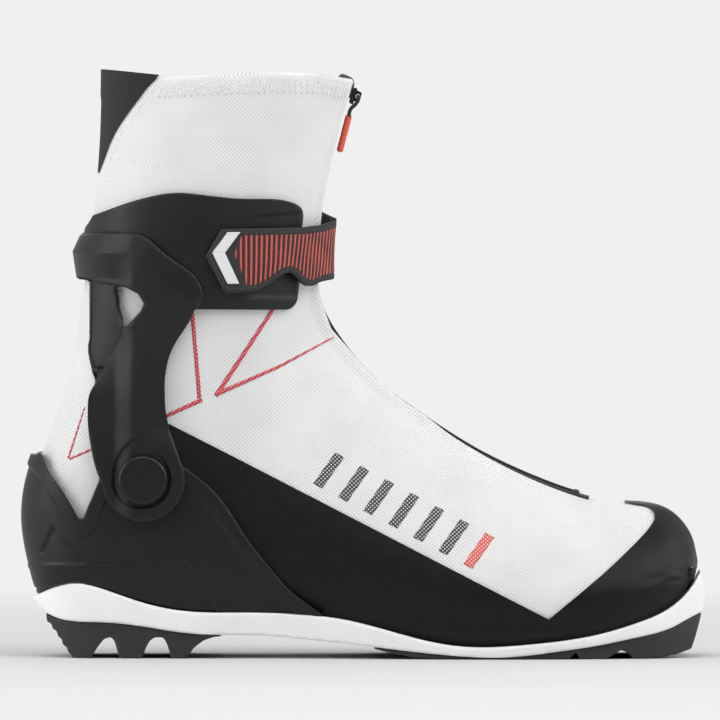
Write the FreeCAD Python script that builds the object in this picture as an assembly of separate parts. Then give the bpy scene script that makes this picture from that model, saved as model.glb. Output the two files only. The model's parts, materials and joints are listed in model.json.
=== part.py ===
"""Cross-country skate boot for the right foot, as an assembly of separate pieces.

Frame: +X towards the toe, +Y towards the inner (medial) side, +Z up. The origin is the centre of the
steel toe bar, the axle that the ski binding grips. Everything is in millimetres.

The boot's outer fabric surface is one skinned body, made from rings that fan from the toe to the
collar. Every sewn, glued or moulded layer is a slice of that body between two offsets from it,
kept inside a side-view outline.
"""

import FreeCAD, Part
import math
import os

V = FreeCAD.Vector

# ---------------------------------------------------------------- driving dimensions
GROUND_Z = -7.0                 # the treads rest here, below the toe bar's centre
COLLAR_Z = 248.5                # top of the fabric collar
SPAN = 80.0                     # half width of any cutter that spans the boot
GAP = 0.12                      # glue gap between two layers

PIVOT = (-234.0, 71.5)          # ankle axis, in side view
PIVOT_BUSH_R = 6.0
PIVOT_RIVET_R = 3.0
PIVOT_BORE_R = 1.6              # blind hole in the rivet for the cap's stub
PIVOT_BORE_END_Y = 40.5
PIVOT_SHANK_END_Y = 35.0
PIVOT_CAP_R = 10.9
PIVOT_CAP_T = 2.6
PIVOT_CAP_ROUNDING = 1.8
PIVOT_STUB_END_Y = 41.0
ARM_END_R = 18.4
EAR_R = 17.0                    # ear of the heel counter behind the arm
EAR_FACE_Y = 38.7               # outer face of that ear
ARM_INNER_Y = 39.0
ARM_OUTER_Y = 44.4
ARM_TOP_Z = 122.0               # the flat arm runs into the curved shell between these heights
SHELL_LOW_Z = 96.0
RUNNING_GAP = 0.05              # radial clearance of the bush in the arm
FIT_GAP = 0.02                  # clearance between parts that are pressed or moulded together

FABRIC_T = 1.5                  # white cover
RAND_T = 0.9
LINING_IN, LINING_OUT = -4.2, -2.85
SHAFT_PAD_IN, SHAFT_PAD_OUT = -5.6, -1.62
INSOLE_IN = -8.6
INSOLE_RIM = 10.0               # height of the insole's cupped rim over the underside
WRAP_IN, WRAP_OUT = 0.12, 3.1
FRAME_IN, FRAME_OUT = 3.2, 7.0
COUNTER_IN, COUNTER_OUT = 1.14, 3.2
COUNTER_LIP = 1.1               # the bead along the counter's edges stands this much prouder
STRAP_IN, STRAP_OUT = 4.9, 7.0
PAD_IN, PAD_MID = 3.2, 4.05     # hook-and-loop pads under the strap end
CHEVRON_IN, CHEVRON_OUT = 7.08, 7.6
COIL_OUT = 0.5                  # the zip's coil stands this much over the fabric
TAPE_IN, TAPE_OUT = -2.7, -1.6
GARAGE_IN, GARAGE_OUT = 0.62, 1.7

# The fabric opens at the ankle between these rays from the ankle axis, in degrees above +X.
FOOT_FRONT, SHAFT_FRONT = 22.0, 49.0
SHAFT_BACK, FOOT_BACK = 148.0, 160.0
FILM_BACK = 66.0                # the film's corner reaches back to this ray
FOLD_GAP = 0.1                  # degrees between a folding piece and its neighbours
ANKLE_HUB_R = 19.5              # side walls nearer the axis than this stay with the foot

TOE_BAR_R = 2.0
TOE_BAR_HALF = 19.5
POCKET_HALF, POCKET_TOP = 16.0, 4.6      # the space round the bar for the binding's jaw
GUIDE_HALF, GUIDE_W, GUIDE_TOP = 15.0, 6.0, -4.4
HEEL_GUIDE_TOP = -3.0
OUTSOLE_INSET = 1.6
SOLE_PLAN_Z, SOLE_FLARE = 14.0, 0.07
BOARD_RIM = 4.6                 # height of the lasting board's rim over the underside

ZIP_SLOT = 5.0                  # half width of the slot in the fabric
ZIP_COIL = 2.6
ZIP_TAPE = 11.0
ZIP_FOOT_END, ZIP_FOOT_END_Z = -41.0, 62.9
TOE_SLOPE = 0.45                # fall of the ridge per mm of length near the zip's lower end
SLIDE_START, SLIDE_WAY_POINT = (-143.1, 240.0), (-149.3, 217.2)     # the slider's path, in side view
SLIDER_HALF, SLIDER_CHEEK_Y = 4.2, 3.0
SLIDER_BRIDGE_HALF = 0.65
SLIDER_EYE_R, SLIDER_EYE_OUT = 1.0, 3.4
CORD_R = 0.75
CORD_APART = (1.7, 1.6, 0.75)   # half the distance between the cord's strands, down the pull
GRIP_R, GRIP_L, GRIP_ROUNDING = 1.5, 16.0, 0.7

RIVET_R = 2.0
RIVET_SPACER_R, RIVET_HEAD_R = 3.8, 4.2
RIVET_HEAD_T = 1.1
STRAP_SPLIT = 0.9               # Y of the line at the shin where the free end starts, on the lateral side

# Rings of the fabric surface from toe to collar: the point on the underside or back, the point on
# the top or front, the lateral and medial half widths, and how far the ring is a shaft ring.
RINGS = (
    ((5.0, 24.0), (8.4, 37.0), 12.0, 12.0, 0.0),
    ((0.5, 15.5), (6.0, 46.0), 23.5, 23.5, 0.0),
    ((-8.0, 10.5), (-1.5, 55.5), 33.0, 33.0, 0.0),
    ((-22.0, 5.0), (-14.0, 60.0), 41.0, 41.0, 0.0),
    ((-42.0, 0.0), (-32.0, 61.3), 46.0, 45.0, 0.0),
    ((-64.0, -2.5), (-52.0, 67.0), 48.5, 46.0, 0.0),
    ((-88.0, -3.3), (-74.0, 77.0), 48.5, 45.0, 0.0),
    ((-112.0, -0.5), (-95.0, 89.0), 46.0, 42.0, 0.0),
    ((-138.0, 5.0), (-113.0, 101.2), 42.0, 38.5, 0.0),
    ((-166.0, 8.5), (-129.0, 113.0), 39.0, 36.5, 0.0),
    ((-196.0, 9.5), (-140.5, 125.0), 37.0, 36.0, 0.05),
    ((-228.0, 11.5), (-148.0, 135.0), 35.5, 35.5, 0.1),
    ((-258.0, 15.5), (-152.3, 142.0), 35.0, 35.0, 0.2),
    ((-274.5, 19.5), (-155.0, 148.0), 35.0, 35.0, 0.4),
    ((-280.5, 33.0), (-156.6, 154.5), 35.0, 35.0, 0.6),
    ((-284.0, 52.0), (-157.3, 162.0), 35.0, 35.0, 0.8),
    ((-282.0, 72.0), (-157.3, 170.0), 35.5, 35.5, 1.0),
    ((-274.8, 92.0), (-156.9, 178.0), 36.0, 36.0, 1.0),
    ((-266.8, 115.0), (-156.0, 187.0), 36.5, 36.5, 1.0),
    ((-261.3, 146.0), (-154.5, 197.0), 37.0, 37.0, 1.0),
    ((-255.7, 186.0), (-151.5, 211.0), 37.5, 37.5, 1.0),
    ((-252.5, 220.0), (-146.5, 231.0), 39.5, 39.5, 1.0),
    ((-251.5, 252.0), (-139.5, 251.0), 41.0, 41.0, 1.0),
    ((-251.0, 268.0), (-136.0, 266.0), 41.5, 41.5, 1.0),
)
# Half a ring, as (share of the way from underside to top, share of the half width).
FOOT_RING = ((0.0, 0.0), (0.0, 0.6), (0.07, 0.9), (0.28, 1.0), (0.55, 0.86), (0.8, 0.56), (0.95, 0.22),
             (1.0, 0.0))
SHAFT_RING = ((0.0, 0.0), (0.02, 0.35), (0.12, 0.75), (0.32, 0.98), (0.58, 1.0), (0.82, 0.74),
              (0.96, 0.32), (1.0, 0.0))

# Side-view edges of the midsole, heel to toe.
SOLE_TOP = (
    (-283.0, 18.8), (-275.5, 23.0), (-265.0, 26.0), (-253.5, 24.0), (-236.0, 18.0), (-218.0, 14.0),
    (-190.0, 13.2), (-165.5, 12.5), (-143.5, 9.7), (-121.5, 4.0), (-99.5, -0.9), (-86.0, -1.8),
    (-68.5, -0.9), (-51.0, 0.9), (-33.5, 4.0), (-16.0, 9.2), (-7.0, 12.8), (2.0, 19.0), (10.6, 31.0),
)
SOLE_BOTTOM = (
    (-277.0, 12.8), (-271.0, 10.2), (-253.5, 8.8), (-231.5, 6.6), (-214.0, 4.0), (-200.0, 3.4),
    (-178.5, 3.0), (-165.5, 1.8), (-143.5, -0.4), (-121.5, -3.1), (-99.5, -5.3), (-77.5, -6.2),
    (-64.0, -5.2), (-51.0, -3.5), (-33.5, -0.9), (-16.0, 2.6), (-2.5, 6.2), (6.2, 10.6), (11.6, 12.8),
)
# Sole outline seen from above: X, lateral half width, medial half width, heel to toe.
SOLE_PLAN = (
    (-279.0, 17.0, 17.0), (-268.0, 28.0, 28.0), (-250.0, 33.5, 33.5), (-225.0, 36.0, 36.0),
    (-195.0, 37.5, 36.5), (-165.0, 39.5, 37.0), (-135.0, 43.5, 39.5), (-105.0, 48.0, 43.5),
    (-78.0, 49.6, 46.6), (-50.0, 47.6, 46.2), (-27.0, 42.8, 42.4), (-10.0, 36.5, 36.5),
    (2.0, 28.5, 28.5), (9.5, 18.0, 18.0),
)
SOLE_HEEL_X, SOLE_NOSE_X = -283.2, 12.8


# ---------------------------------------------------------------- geometry helpers
def between(a, b, share):
    return tuple(p + (q - p) * share for p, q in zip(a, b))


def outward(points, side):
    """Unit normals of a side-view polyline; side is +1 or -1."""
    found = []
    for i in range(len(points)):
        a, b = points[max(i - 1, 0)], points[min(i + 1, len(points) - 1)]
        dx, dz = b[0] - a[0], b[1] - a[1]
        length = math.hypot(dx, dz)
        found.append((dz / length * side, -dx / length * side))
    return found


def shifted(points, side, distance):
    return [(x + n[0] * distance, z + n[1] * distance) for (x, z), n in zip(points, outward(points, side))]


def shares(rows, power):
    """Average share of each step along rows of points, for a shared spline parameter."""
    total = [0.0] * len(rows[0])
    for row in rows:
        at = [0.0]
        for a, b in zip(row, row[1:]):
            at.append(at[-1] + (b - a).Length ** power)
        total = [t + x / at[-1] / len(rows) for t, x in zip(total, at)]
    total[-1] = 1.0
    return total


def skinned(rings):
    """A closed solid through rings of points. The first and the last ring are flat."""
    around = shares([r + [r[0]] for r in rings], 0.6)
    along = shares([list(c) for c in zip(*rings)], 0.6)
    loops = []
    for r in rings:
        loop = Part.BSplineCurve()
        loop.interpolate(Points=r, PeriodicFlag=True, Parameters=around)
        loops.append(loop)
    rails = []
    for column in zip(*(loop.getPoles() for loop in loops)):
        rail = Part.BSplineCurve()
        rail.interpolate(Points=list(column), Parameters=along)
        rails.append(rail)
    surface = Part.BSplineSurface()
    surface.buildFromPolesMultsKnots(
        [rail.getPoles() for rail in rails],
        loops[0].getMultiplicities(), rails[0].getMultiplicities(),
        loops[0].getKnots(), rails[0].getKnots(),
        True, False, loops[0].Degree, rails[0].Degree,
    )
    ends = [Part.Face(Part.Wire([loop.toShape()])) for loop in (loops[0], loops[-1])]
    shell = Part.makeShell([surface.toShape()] + ends)
    shell.sewShape()
    solid = Part.makeSolid(shell)
    if solid.Volume < 0:
        solid.reverse()
    return solid


_bodies = {}


def body(offset):
    """The whole boot as a solid block whose surface lies offset outside the fabric's."""
    if offset not in _bodies:
        under = shifted([r[0] for r in RINGS], -1, offset)
        over = shifted([r[1] for r in RINGS], 1, offset)
        rings = []
        for (_, _, lateral, medial, shaft), a, b in zip(RINGS, under, over):
            half = [between(f, s, shaft) for f, s in zip(FOOT_RING, SHAFT_RING)]
            sides = [(p, -(lateral + offset)) for p in half] + [(p, medial + offset) for p in half[-2:0:-1]]
            ring = []
            for (up, out), width in sides:
                x, z = between(a, b, up)
                ring.append(V(x, out * width, z))
            rings.append(ring)
        _bodies[offset] = skinned(rings)
    return _bodies[offset].copy()


def edge(points):
    """A line through two points, or a smooth curve through more."""
    points = [V(x, 0, z) for x, z in points]
    if len(points) == 2:
        return Part.makeLine(*points)
    curve = Part.BSplineCurve()
    curve.interpolate(points)
    return curve.toShape()


def plate(*runs, y0=-SPAN, y1=SPAN):
    """A side-view outline pushed through from y0 to y1. Each run is a list of points, straight if it has
    two and smooth if it has more, and starts where the one before ended; the last is joined to the first."""
    edges = []
    for run, following in zip(runs, runs[1:] + runs[:1]):
        edges.append(edge(run))
        if math.dist(run[-1], following[0]) > 1e-6:
            edges.append(edge([run[-1], following[0]]))
    face = Part.Face(Part.Wire(Part.__sortEdges__(edges)))
    face.translate(V(0, y0, 0))
    return face.extrude(V(0, y1 - y0, 0))


def polygon(points, y0=-SPAN, y1=SPAN):
    return plate(*[[a, b] for a, b in zip(points, points[1:] + points[:1])], y0=y0, y1=y1)


def block(x0, x1, y0, y1, z0, z1):
    return Part.makeBox(x1 - x0, y1 - y0, z1 - z0, V(x0, y0, z0))


def rod(radius, centre, y0, y1):
    """A cylinder along Y, centred on a side-view point."""
    return Part.makeCylinder(radius, y1 - y0, V(centre[0], y0, centre[1]), V(0, 1, 0))


def mirrored(shape):
    return shape.mirror(V(0, 0, 0), V(0, 1, 0))


def both(shape):
    """The shape and its mirror image on the medial side."""
    return shape.fuse(mirrored(shape))


def layer(inner, outer, region):
    return region.common(body(outer)).cut(body(inner))


def ray(angle, radius=400.0):
    a = math.radians(angle)
    return (PIVOT[0] + radius * math.cos(a), PIVOT[1] + radius * math.sin(a))


def wedge(low, high):
    """Everything between two rays from the ankle axis and outside the hub."""
    middle = [ray(low + (high - low) * i / 4) for i in range(5)]
    return polygon([PIVOT] + middle).cut(rod(ANKLE_HUB_R, PIVOT, -SPAN, SPAN))


# ---------------------------------------------------------------- side-view regions
COLLAR_LINE = [(-262.0, 249.4), (-228.0, 247.6), (-203.0, 248.8), (-176.0, 249.8), (-156.0, 249.0),
               (-141.0, 246.4), (-120.0, 242.0)]


def below_collar(rise=0.0):
    line = [(x, z + rise) for x, z in COLLAR_LINE]
    return plate(line, [line[-1], (-120.0, -40.0)], [(-120.0, -40.0), (-300.0, -40.0)],
                 [(-300.0, -40.0), line[0]])


def shaft_region(rise=0.0):
    return wedge(SHAFT_FRONT, SHAFT_BACK).common(below_collar(rise))


def foot_region():
    """Below the front ray, behind the back ray, and the hub round the ankle axis."""
    angles = [FOOT_BACK + (360.0 + FOOT_FRONT - FOOT_BACK) * i / 8 for i in range(9)]
    return polygon([PIVOT] + [ray(a) for a in angles]).fuse(rod(ANKLE_HUB_R - 0.1, PIVOT, -SPAN, SPAN))


def above_sole(rise):
    line = [(x, z + rise) for x, z in SOLE_TOP]
    return plate(line, [line[-1], (40.0, line[-1][1])], [(40.0, line[-1][1]), (40.0, 300.0)],
                 [(40.0, 300.0), (-320.0, 300.0)], [(-320.0, 300.0), (-320.0, line[0][1])],
                 [(-320.0, line[0][1]), line[0]])


def sole_band(low, high):
    """A band that follows the underside of the fabric, from low to high above it."""
    under = [r[0] for r in RINGS[1:14]]
    line = [(20.0, under[0][1] + 8.0)] + under + [(-295.0, under[-1][1] + 4.0)]
    return polygon([(x, z + low) for x, z in line] + [(x, z + high) for x, z in line[::-1]])


# ---------------------------------------------------------------- sole
def plan_outline(z, inset):
    """Closed curve of the sole's wall at height z. The wall leans out a little on the way up."""
    out = (z - SOLE_PLAN_Z) * SOLE_FLARE - inset
    ring = [(SOLE_HEEL_X - out, 0.0)]
    ring += [(x, -a - out) for x, a, _ in SOLE_PLAN]
    ring += [(SOLE_NOSE_X + out, 0.0)]
    ring += [(x, b + out) for x, _, b in SOLE_PLAN[::-1]]
    points = [V(x, y, z) for x, y in ring]
    curve = Part.BSplineCurve()
    curve.interpolate(Points=points, PeriodicFlag=True, Parameters=shares([points + [points[0]]], 0.6))
    return Part.Wire([curve.toShape()])


def sole_block(inset=0.0):
    return Part.makeLoft([plan_outline(-30.0, inset), plan_outline(60.0, inset)], True, True)


def midsole():
    """White foam cup between the upper and the treads."""
    nose = [SOLE_TOP[-1], (12.6, 20.0), (12.4, 16.0), SOLE_BOTTOM[-1]]
    side = plate(list(SOLE_TOP), nose, list(SOLE_BOTTOM[::-1]))
    return sole_block().common(side).cut(body(0.15))


def below_midsole():
    line = [(x, z - GAP) for x, z in SOLE_BOTTOM]
    corners = [(40.0, 12.0), (40.0, -40.0), (-300.0, -40.0), (-300.0, 12.8)]
    straight = [[a, b] for a, b in zip([line[-1]] + corners, corners + [line[0]])]
    return plate(line, *straight)


def outsole_heel():
    """Rubber heel: three treads across the sole with arched gaps, and the ski plate's two guide grooves."""
    outline = polygon([(-277.0, 14.0), (-276.4, 8.6), (-274.4, 7.9), (-273.9, 5.6), (-272.0, 4.6),
                       (-271.5, 2.2), (-269.9, 1.4), (-269.3, -1.4), (-267.6, -2.2), (-266.9, -4.8),
                       (-265.8, -5.2), (-265.2, GROUND_Z), (-257.0, GROUND_Z), (-254.0, -2.2),
                       (-251.2, 1.4), (-248.2, 2.3), (-246.6, 0.6), (-244.4, GROUND_Z),
                       (-234.4, GROUND_Z), (-232.6, -2.0), (-231.0, 0.8), (-228.6, 2.3), (-225.0, 2.1),
                       (-223.4, -1.0), (-221.6, GROUND_Z), (-215.0, GROUND_Z), (-211.6, -2.2),
                       (-207.4, 0.9), (-203.0, 2.4), (-199.8, 2.6), (-199.8, 14.0)])
    guides = both(block(-290.0, -190.0, GUIDE_HALF - GUIDE_W, GUIDE_HALF, GROUND_Z - 5.0, HEEL_GUIDE_TOP))
    return sole_block(OUTSOLE_INSET).common(outline).common(below_midsole()).cut(guides)


def outsole_forefoot():
    """Rubber forefoot: carries the toe bar in its nose and has two guide grooves for the ski plate."""
    outline = polygon([(-133.0, 20.0), (-133.0, -2.4), (-127.0, -4.0), (-117.0, -6.0), (-106.0, GROUND_Z),
                       (-97.0, GROUND_Z), (-95.5, -6.3), (-94.0, GROUND_Z), (-47.0, GROUND_Z),
                       (-44.6, -3.6), (-42.6, GROUND_Z), (-31.2, GROUND_Z), (-26.6, -4.4), (-24.4, -3.0),
                       (-21.8, -4.4), (-19.2, GROUND_Z), (-9.0, GROUND_Z), (0.0, -5.4), (6.6, -3.2),
                       (8.4, 2.0), (11.2, 12.0), (11.2, 20.0)])
    guides = both(block(-66.0, -10.0, GUIDE_HALF - GUIDE_W, GUIDE_HALF, GROUND_Z - 5.0, GUIDE_TOP))
    pocket = block(-8.5, 20.0, -POCKET_HALF, POCKET_HALF, GROUND_Z - 5.0, POCKET_TOP)
    bar = rod(TOE_BAR_R + FIT_GAP, (0.0, 0.0), -TOE_BAR_HALF - FIT_GAP, TOE_BAR_HALF + FIT_GAP)
    whole = sole_block(OUTSOLE_INSET).common(outline).common(below_midsole())
    return whole.cut(guides).cut(pocket).cut(bar)


def toe_bar():
    """Steel axle that the binding's jaw closes round. Its ends are moulded into the outsole."""
    return rod(TOE_BAR_R, (0.0, 0.0), -TOE_BAR_HALF, TOE_BAR_HALF)


def lasting_board():
    """Stiff tray that the upper is pulled over and glued to."""
    return layer(-2.6, -0.05, sole_band(-30.0, BOARD_RIM))


def insole():
    """Foam footbed with a low cupped rim."""
    return layer(INSOLE_IN, LINING_IN - 0.1, sole_band(-30.0, INSOLE_RIM))


# ---------------------------------------------------------------- soft upper
def ridge_zone(half, low, high, end=ZIP_FOOT_END):
    """Strip along the front ridge, from the zip's lower end to above the collar."""
    tip = (end, ZIP_FOOT_END_Z - (end - ZIP_FOOT_END) * TOE_SLOPE)
    over = [tip] + [r[1] for r in RINGS if r[1][0] < end - 8.0]
    return polygon(shifted(over, 1, low) + shifted(over, 1, high)[::-1], y0=-half, y1=half)


def above_board():
    return sole_band(BOARD_RIM + 0.1, 400.0)


def foot_cover():
    """White softshell over the foot, up to the fold of the ankle."""
    region = foot_region().common(above_board())
    return layer(-FABRIC_T, 0.0, region).cut(ridge_zone(ZIP_SLOT, -8.0, 8.0))


def shaft_cover():
    """White softshell round the shaft; the collar's back corner is elastic instead."""
    whole = layer(-FABRIC_T, 0.0, shaft_region())
    return whole.cut(ridge_zone(ZIP_SLOT, -8.0, 8.0)).cut(elastic_region(0.1))


def elastic_region(grow=0.0):
    front = [(-226.8, 262.0), (-227.9, 247.0), (-231.4, 243.6), (-235.8, 238.0), (-242.4, 229.2),
             (-248.2, 219.6), (-251.4, 211.6), (-253.2, 206.4), (-257.0, 200.0)]
    front = [(x + grow, z - grow) for x, z in front]
    return plate(front, [front[-1], (-290.0, 200.0)], [(-290.0, 200.0), (-290.0, 262.0)],
                 [(-290.0, 262.0), front[0]])


def collar_elastic():
    """Ribbed elastic at the back of the collar."""
    return layer(-FABRIC_T, 0.0, shaft_region(0.8).common(elastic_region()))


def gusset_front():
    """Fabric, zip and lining between the foot and the shaft, in front of the ankle; it folds."""
    return layer(LINING_IN, 0.0, wedge(FOOT_FRONT + FOLD_GAP, SHAFT_FRONT - FOLD_GAP))


def gusset_back():
    """Fabric and lining behind the ankle; it stretches as the shaft leans forwards."""
    return layer(LINING_IN, 0.0, wedge(SHAFT_BACK + FOLD_GAP, FOOT_BACK - FOLD_GAP))


def foot_lining():
    """Knitted sock inside the foot."""
    return layer(LINING_IN, LINING_OUT, foot_region())


def shaft_padding():
    """Soft quilted lining of the shaft, open along the zip."""
    return layer(SHAFT_PAD_IN, SHAFT_PAD_OUT, shaft_region(-0.6)).cut(ridge_zone(ZIP_TAPE + 0.2, -14.0, 8.0))


def toe_puff():
    """Thin stiff cap inside the toe, between the cover and the lining."""
    front = polygon([(-48.0, -20.0), (20.0, -20.0), (20.0, 57.0), (-36.0, 57.0)])
    return layer(LINING_OUT + 0.1, -FABRIC_T - 0.1, front.common(sole_band(BOARD_RIM + 3.0, 400.0)))


def rand_region():
    return polygon([(-222.6, 95.9), (-56.3, 10.6), (-33.4, 29.5), (-11.4, 50.2), (-9.2, 55.2),
                    (-10.6, 58.2), (-15.8, 59.9), (-21.5, 61.0), (-21.5, 66.0), (30.0, 66.0), (30.0, -20.0),
                    (-262.0, -20.0), (-250.0, 55.0), (-240.0, 90.0)])


def rand():
    """Smooth black film over the lower upper and the toe."""
    return layer(GAP, GAP + RAND_T, rand_region().common(foot_region()).common(above_sole(GAP)))


def rand_ankle():
    """The film's corner above the ankle axis, which bends with the fabric."""
    return layer(GAP, GAP + RAND_T, rand_region().common(wedge(FOOT_FRONT + FOLD_GAP, FILM_BACK)))


# ---------------------------------------------------------------- zip
def zip_tape_foot():
    tape = layer(TAPE_IN, TAPE_OUT, ridge_zone(ZIP_TAPE, -9.0, 8.0, ZIP_FOOT_END + 6.0))
    return tape.common(foot_region())


def zip_tape_shaft():
    return layer(TAPE_IN, TAPE_OUT, ridge_zone(ZIP_TAPE, -9.0, 8.0)).common(shaft_region())


def zip_chain_foot():
    return layer(-FABRIC_T, COIL_OUT, ridge_zone(ZIP_COIL, -8.0, 8.0)).common(foot_region())


def zip_chain_shaft():
    return layer(-FABRIC_T, COIL_OUT, ridge_zone(ZIP_COIL, -8.0, 8.0)).common(shaft_region(-5.0))


def zip_garage():
    """Folded tab that hides the slider at the top of the zip."""
    outline = polygon([(-150.0, 246.8), (-128.0, 246.4), (-128.0, 243.6), (-150.0, 245.2)], y0=-9.0, y1=9.0)
    return layer(GARAGE_IN, GARAGE_OUT, outline)


def slide_axis():
    """The slider's rest place on the zip, and the unit direction that it is pulled down in."""
    start, end = SLIDE_START, SLIDE_WAY_POINT
    length = math.dist(start, end)
    return start, ((end[0] - start[0]) / length, (end[1] - start[1]) / length)


def along_zip(down, out):
    """Side-view point from the slider's rest place: down the zip and out from it."""
    (x, z), (dx, dz) = slide_axis()
    return (x + dx * down - dz * out, z + dz * down + dx * out)


def zip_slider():
    """Slider: a top plate over the coil with flanges down both sides, and a bridge for the pull."""
    plate_outline = [(-3.4, 0.9), (-3.4, 2.2), (4.0, 2.2), (4.0, 0.9)]
    top = polygon([along_zip(*p) for p in plate_outline], y0=-SLIDER_HALF, y1=SLIDER_HALF)
    cheek_outline = [(-3.0, 0.2), (-3.0, 1.0), (3.6, 1.0), (3.6, 0.2)]
    cheek = polygon([along_zip(*p) for p in cheek_outline], y0=SLIDER_CHEEK_Y, y1=SLIDER_HALF)
    bridge_outline = [(-2.6, 2.1), (-2.0, 4.7), (2.0, 4.7), (2.6, 2.1)]
    bridge = polygon([along_zip(*p) for p in bridge_outline], y0=-SLIDER_BRIDGE_HALF, y1=SLIDER_BRIDGE_HALF)
    eye = rod(SLIDER_EYE_R, along_zip(0.0, SLIDER_EYE_OUT), -2.0, 2.0)
    return top.fuse(both(cheek)).fuse(bridge).cut(eye)


def pull_line():
    """Side-view points down the pull, from the slider's eye."""
    return [along_zip(0.0, SLIDER_EYE_OUT), (-140.6, 235.4), (-143.5, 231.3), (-147.3, 215.4)]


def grip_axis():
    """The grip's upper end and the unit direction down it."""
    _, _, top, bottom = pull_line()
    start = V(top[0], 0, top[1])
    way = V(bottom[0], 0, bottom[1]) - start
    way.normalize()
    return start, way


def zip_pull_cord():
    """Cord through the slider's eye, both ends running down into the grip."""
    points = pull_line()[:3]
    strands = []
    for side in (-1.0, 1.0):
        path = [V(x, side * apart, z) for (x, z), apart in zip(points, CORD_APART)]
        for a, b in zip(path, path[1:]):
            strands.append(Part.makeCylinder(CORD_R, (b - a).Length, a, b - a))
        strands += [Part.makeSphere(CORD_R, p) for p in path[:2]]
    cross = rod(CORD_R, points[0], -CORD_APART[0], CORD_APART[0])
    start, way = grip_axis()
    return cross.multiFuse(strands).cut(Part.makeCylinder(GRIP_R, 3.0 * GRIP_L, start, way))


def zip_pull_grip():
    """Moulded tube on the cord's ends."""
    start, way = grip_axis()
    tube = Part.makeCylinder(GRIP_R, GRIP_L, start + way * RUNNING_GAP, way)
    ends = [e for e in tube.Edges if e.Curve.TypeId == "Part::GeomCircle"]
    return tube.makeFillet(GRIP_ROUNDING, ends)


# ---------------------------------------------------------------- moulded heel counter
COUNTER_FRONT = [(-216.5, 77.4), (-209.4, 72.2), (-202.8, 66.4), (-195.4, 56.8), (-187.4, 44.4),
                 (-178.6, 33.4), (-169.8, 23.3), (-163.2, 18.0), (-154.0, 11.2)]
COUNTER_LIP_FRONT = [(-218.5, 70.2), (-213.0, 66.6), (-207.2, 61.2), (-198.4, 50.2), (-189.6, 37.4),
                     (-180.8, 26.0), (-169.8, 15.4), (-166.0, 11.0)]
COUNTER_BACK = [(-281.6, 81.8), (-279.2, 82.6), (-277.4, 78.8), (-272.0, 70.0), (-262.4, 54.4)]
COUNTER_LIP_BACK = [(-290.0, 78.5), (-281.6, 74.6), (-276.0, 66.5), (-270.0, 57.4), (-265.6, 50.6),
                    (-262.4, 47.4), (-259.4, 46.8), (-256.6, 48.6), (-254.2, 52.6), (-250.5, 62.0)]


def counter_outline():
    floor = [(-154.0, -10.0), (-300.0, -10.0)]
    return plate(COUNTER_FRONT, [COUNTER_FRONT[-1], floor[0]], floor, [floor[1], (-300.0, 86.0)],
                 [(-300.0, 86.0), COUNTER_BACK[0]], COUNTER_BACK, [COUNTER_BACK[-1], (-260.4, 54.2)],
                 [(-260.4, 54.2), (-253.4, 70.8)], [(-253.4, 70.8), (-250.0, 84.0)],
                 [(-250.0, 84.0), (-222.0, 84.0)], [(-222.0, 84.0), COUNTER_FRONT[0]])


def counter_inner_outline():
    """The counter's field inside the raised bead along its edges."""
    return plate(COUNTER_LIP_FRONT, [COUNTER_LIP_FRONT[-1], (-166.0, -12.0)],
                 [(-166.0, -12.0), (-301.0, -12.0)], [(-301.0, -12.0), COUNTER_LIP_BACK[0]],
                 COUNTER_LIP_BACK, [COUNTER_LIP_BACK[-1], (-240.0, 85.0)],
                 [(-240.0, 85.0), (-226.0, 85.0)], [(-226.0, 85.0), COUNTER_LIP_FRONT[0]])


def heel_counter():
    """Stiff heel cup with a raised bead along its edges and an ear for each ankle rivet."""
    outline = counter_outline().common(above_sole(GAP))
    bead = outline.cut(counter_inner_outline())
    field = layer(COUNTER_IN, COUNTER_OUT, outline)
    raised = layer(COUNTER_IN, COUNTER_OUT + COUNTER_LIP, bead)
    ears = both(rod(EAR_R, PIVOT, -EAR_FACE_Y, -30.0)).cut(body(COUNTER_IN))
    cup = field.fuse(raised).fuse(ears)
    sweep = rod(ARM_END_R + 0.6, PIVOT, -SPAN, -EAR_FACE_Y)
    sweep = sweep.fuse(polygon([PIVOT, ray(9.0, 60.0), ray(60.0, 80.0), ray(120.0, 80.0), ray(171.0, 60.0)],
                               -SPAN, -EAR_FACE_Y))
    return cup.cut(both(sweep)).cut(rod(PIVOT_RIVET_R + FIT_GAP, PIVOT, -SPAN, SPAN))


def pivot_rivet():
    """Shouldered rivet: the shank is fixed in the ear and the barrel is the bearing for the arm."""
    barrel = rod(PIVOT_BUSH_R, PIVOT, -ARM_OUTER_Y - 0.06, -EAR_FACE_Y - FIT_GAP)
    shank = rod(PIVOT_RIVET_R, PIVOT, -EAR_FACE_Y - 0.1, -PIVOT_SHANK_END_Y).cut(body(COUNTER_IN + 0.05))
    return barrel.fuse(shank).cut(rod(PIVOT_BORE_R, PIVOT, -SPAN, -PIVOT_BORE_END_Y))


def pivot_rivets():
    one = pivot_rivet()
    return Part.makeCompound([one, mirrored(one)])


def pivot_cap():
    """Smooth domed cap with a stub that sits in the rivet."""
    inner = ARM_OUTER_Y + 0.1
    disc = rod(PIVOT_CAP_R, PIVOT, -inner - PIVOT_CAP_T, -inner)
    rim = [e for e in disc.Edges if e.Curve.TypeId == "Part::GeomCircle" and e.BoundBox.YMin < -inner - 1.0]
    stub = rod(PIVOT_BORE_R - RUNNING_GAP, PIVOT, -inner - 0.5, -PIVOT_STUB_END_Y)
    return disc.makeFillet(PIVOT_CAP_ROUNDING, rim).fuse(stub)


def pivot_caps():
    one = pivot_cap()
    return Part.makeCompound([one, mirrored(one)])


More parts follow.
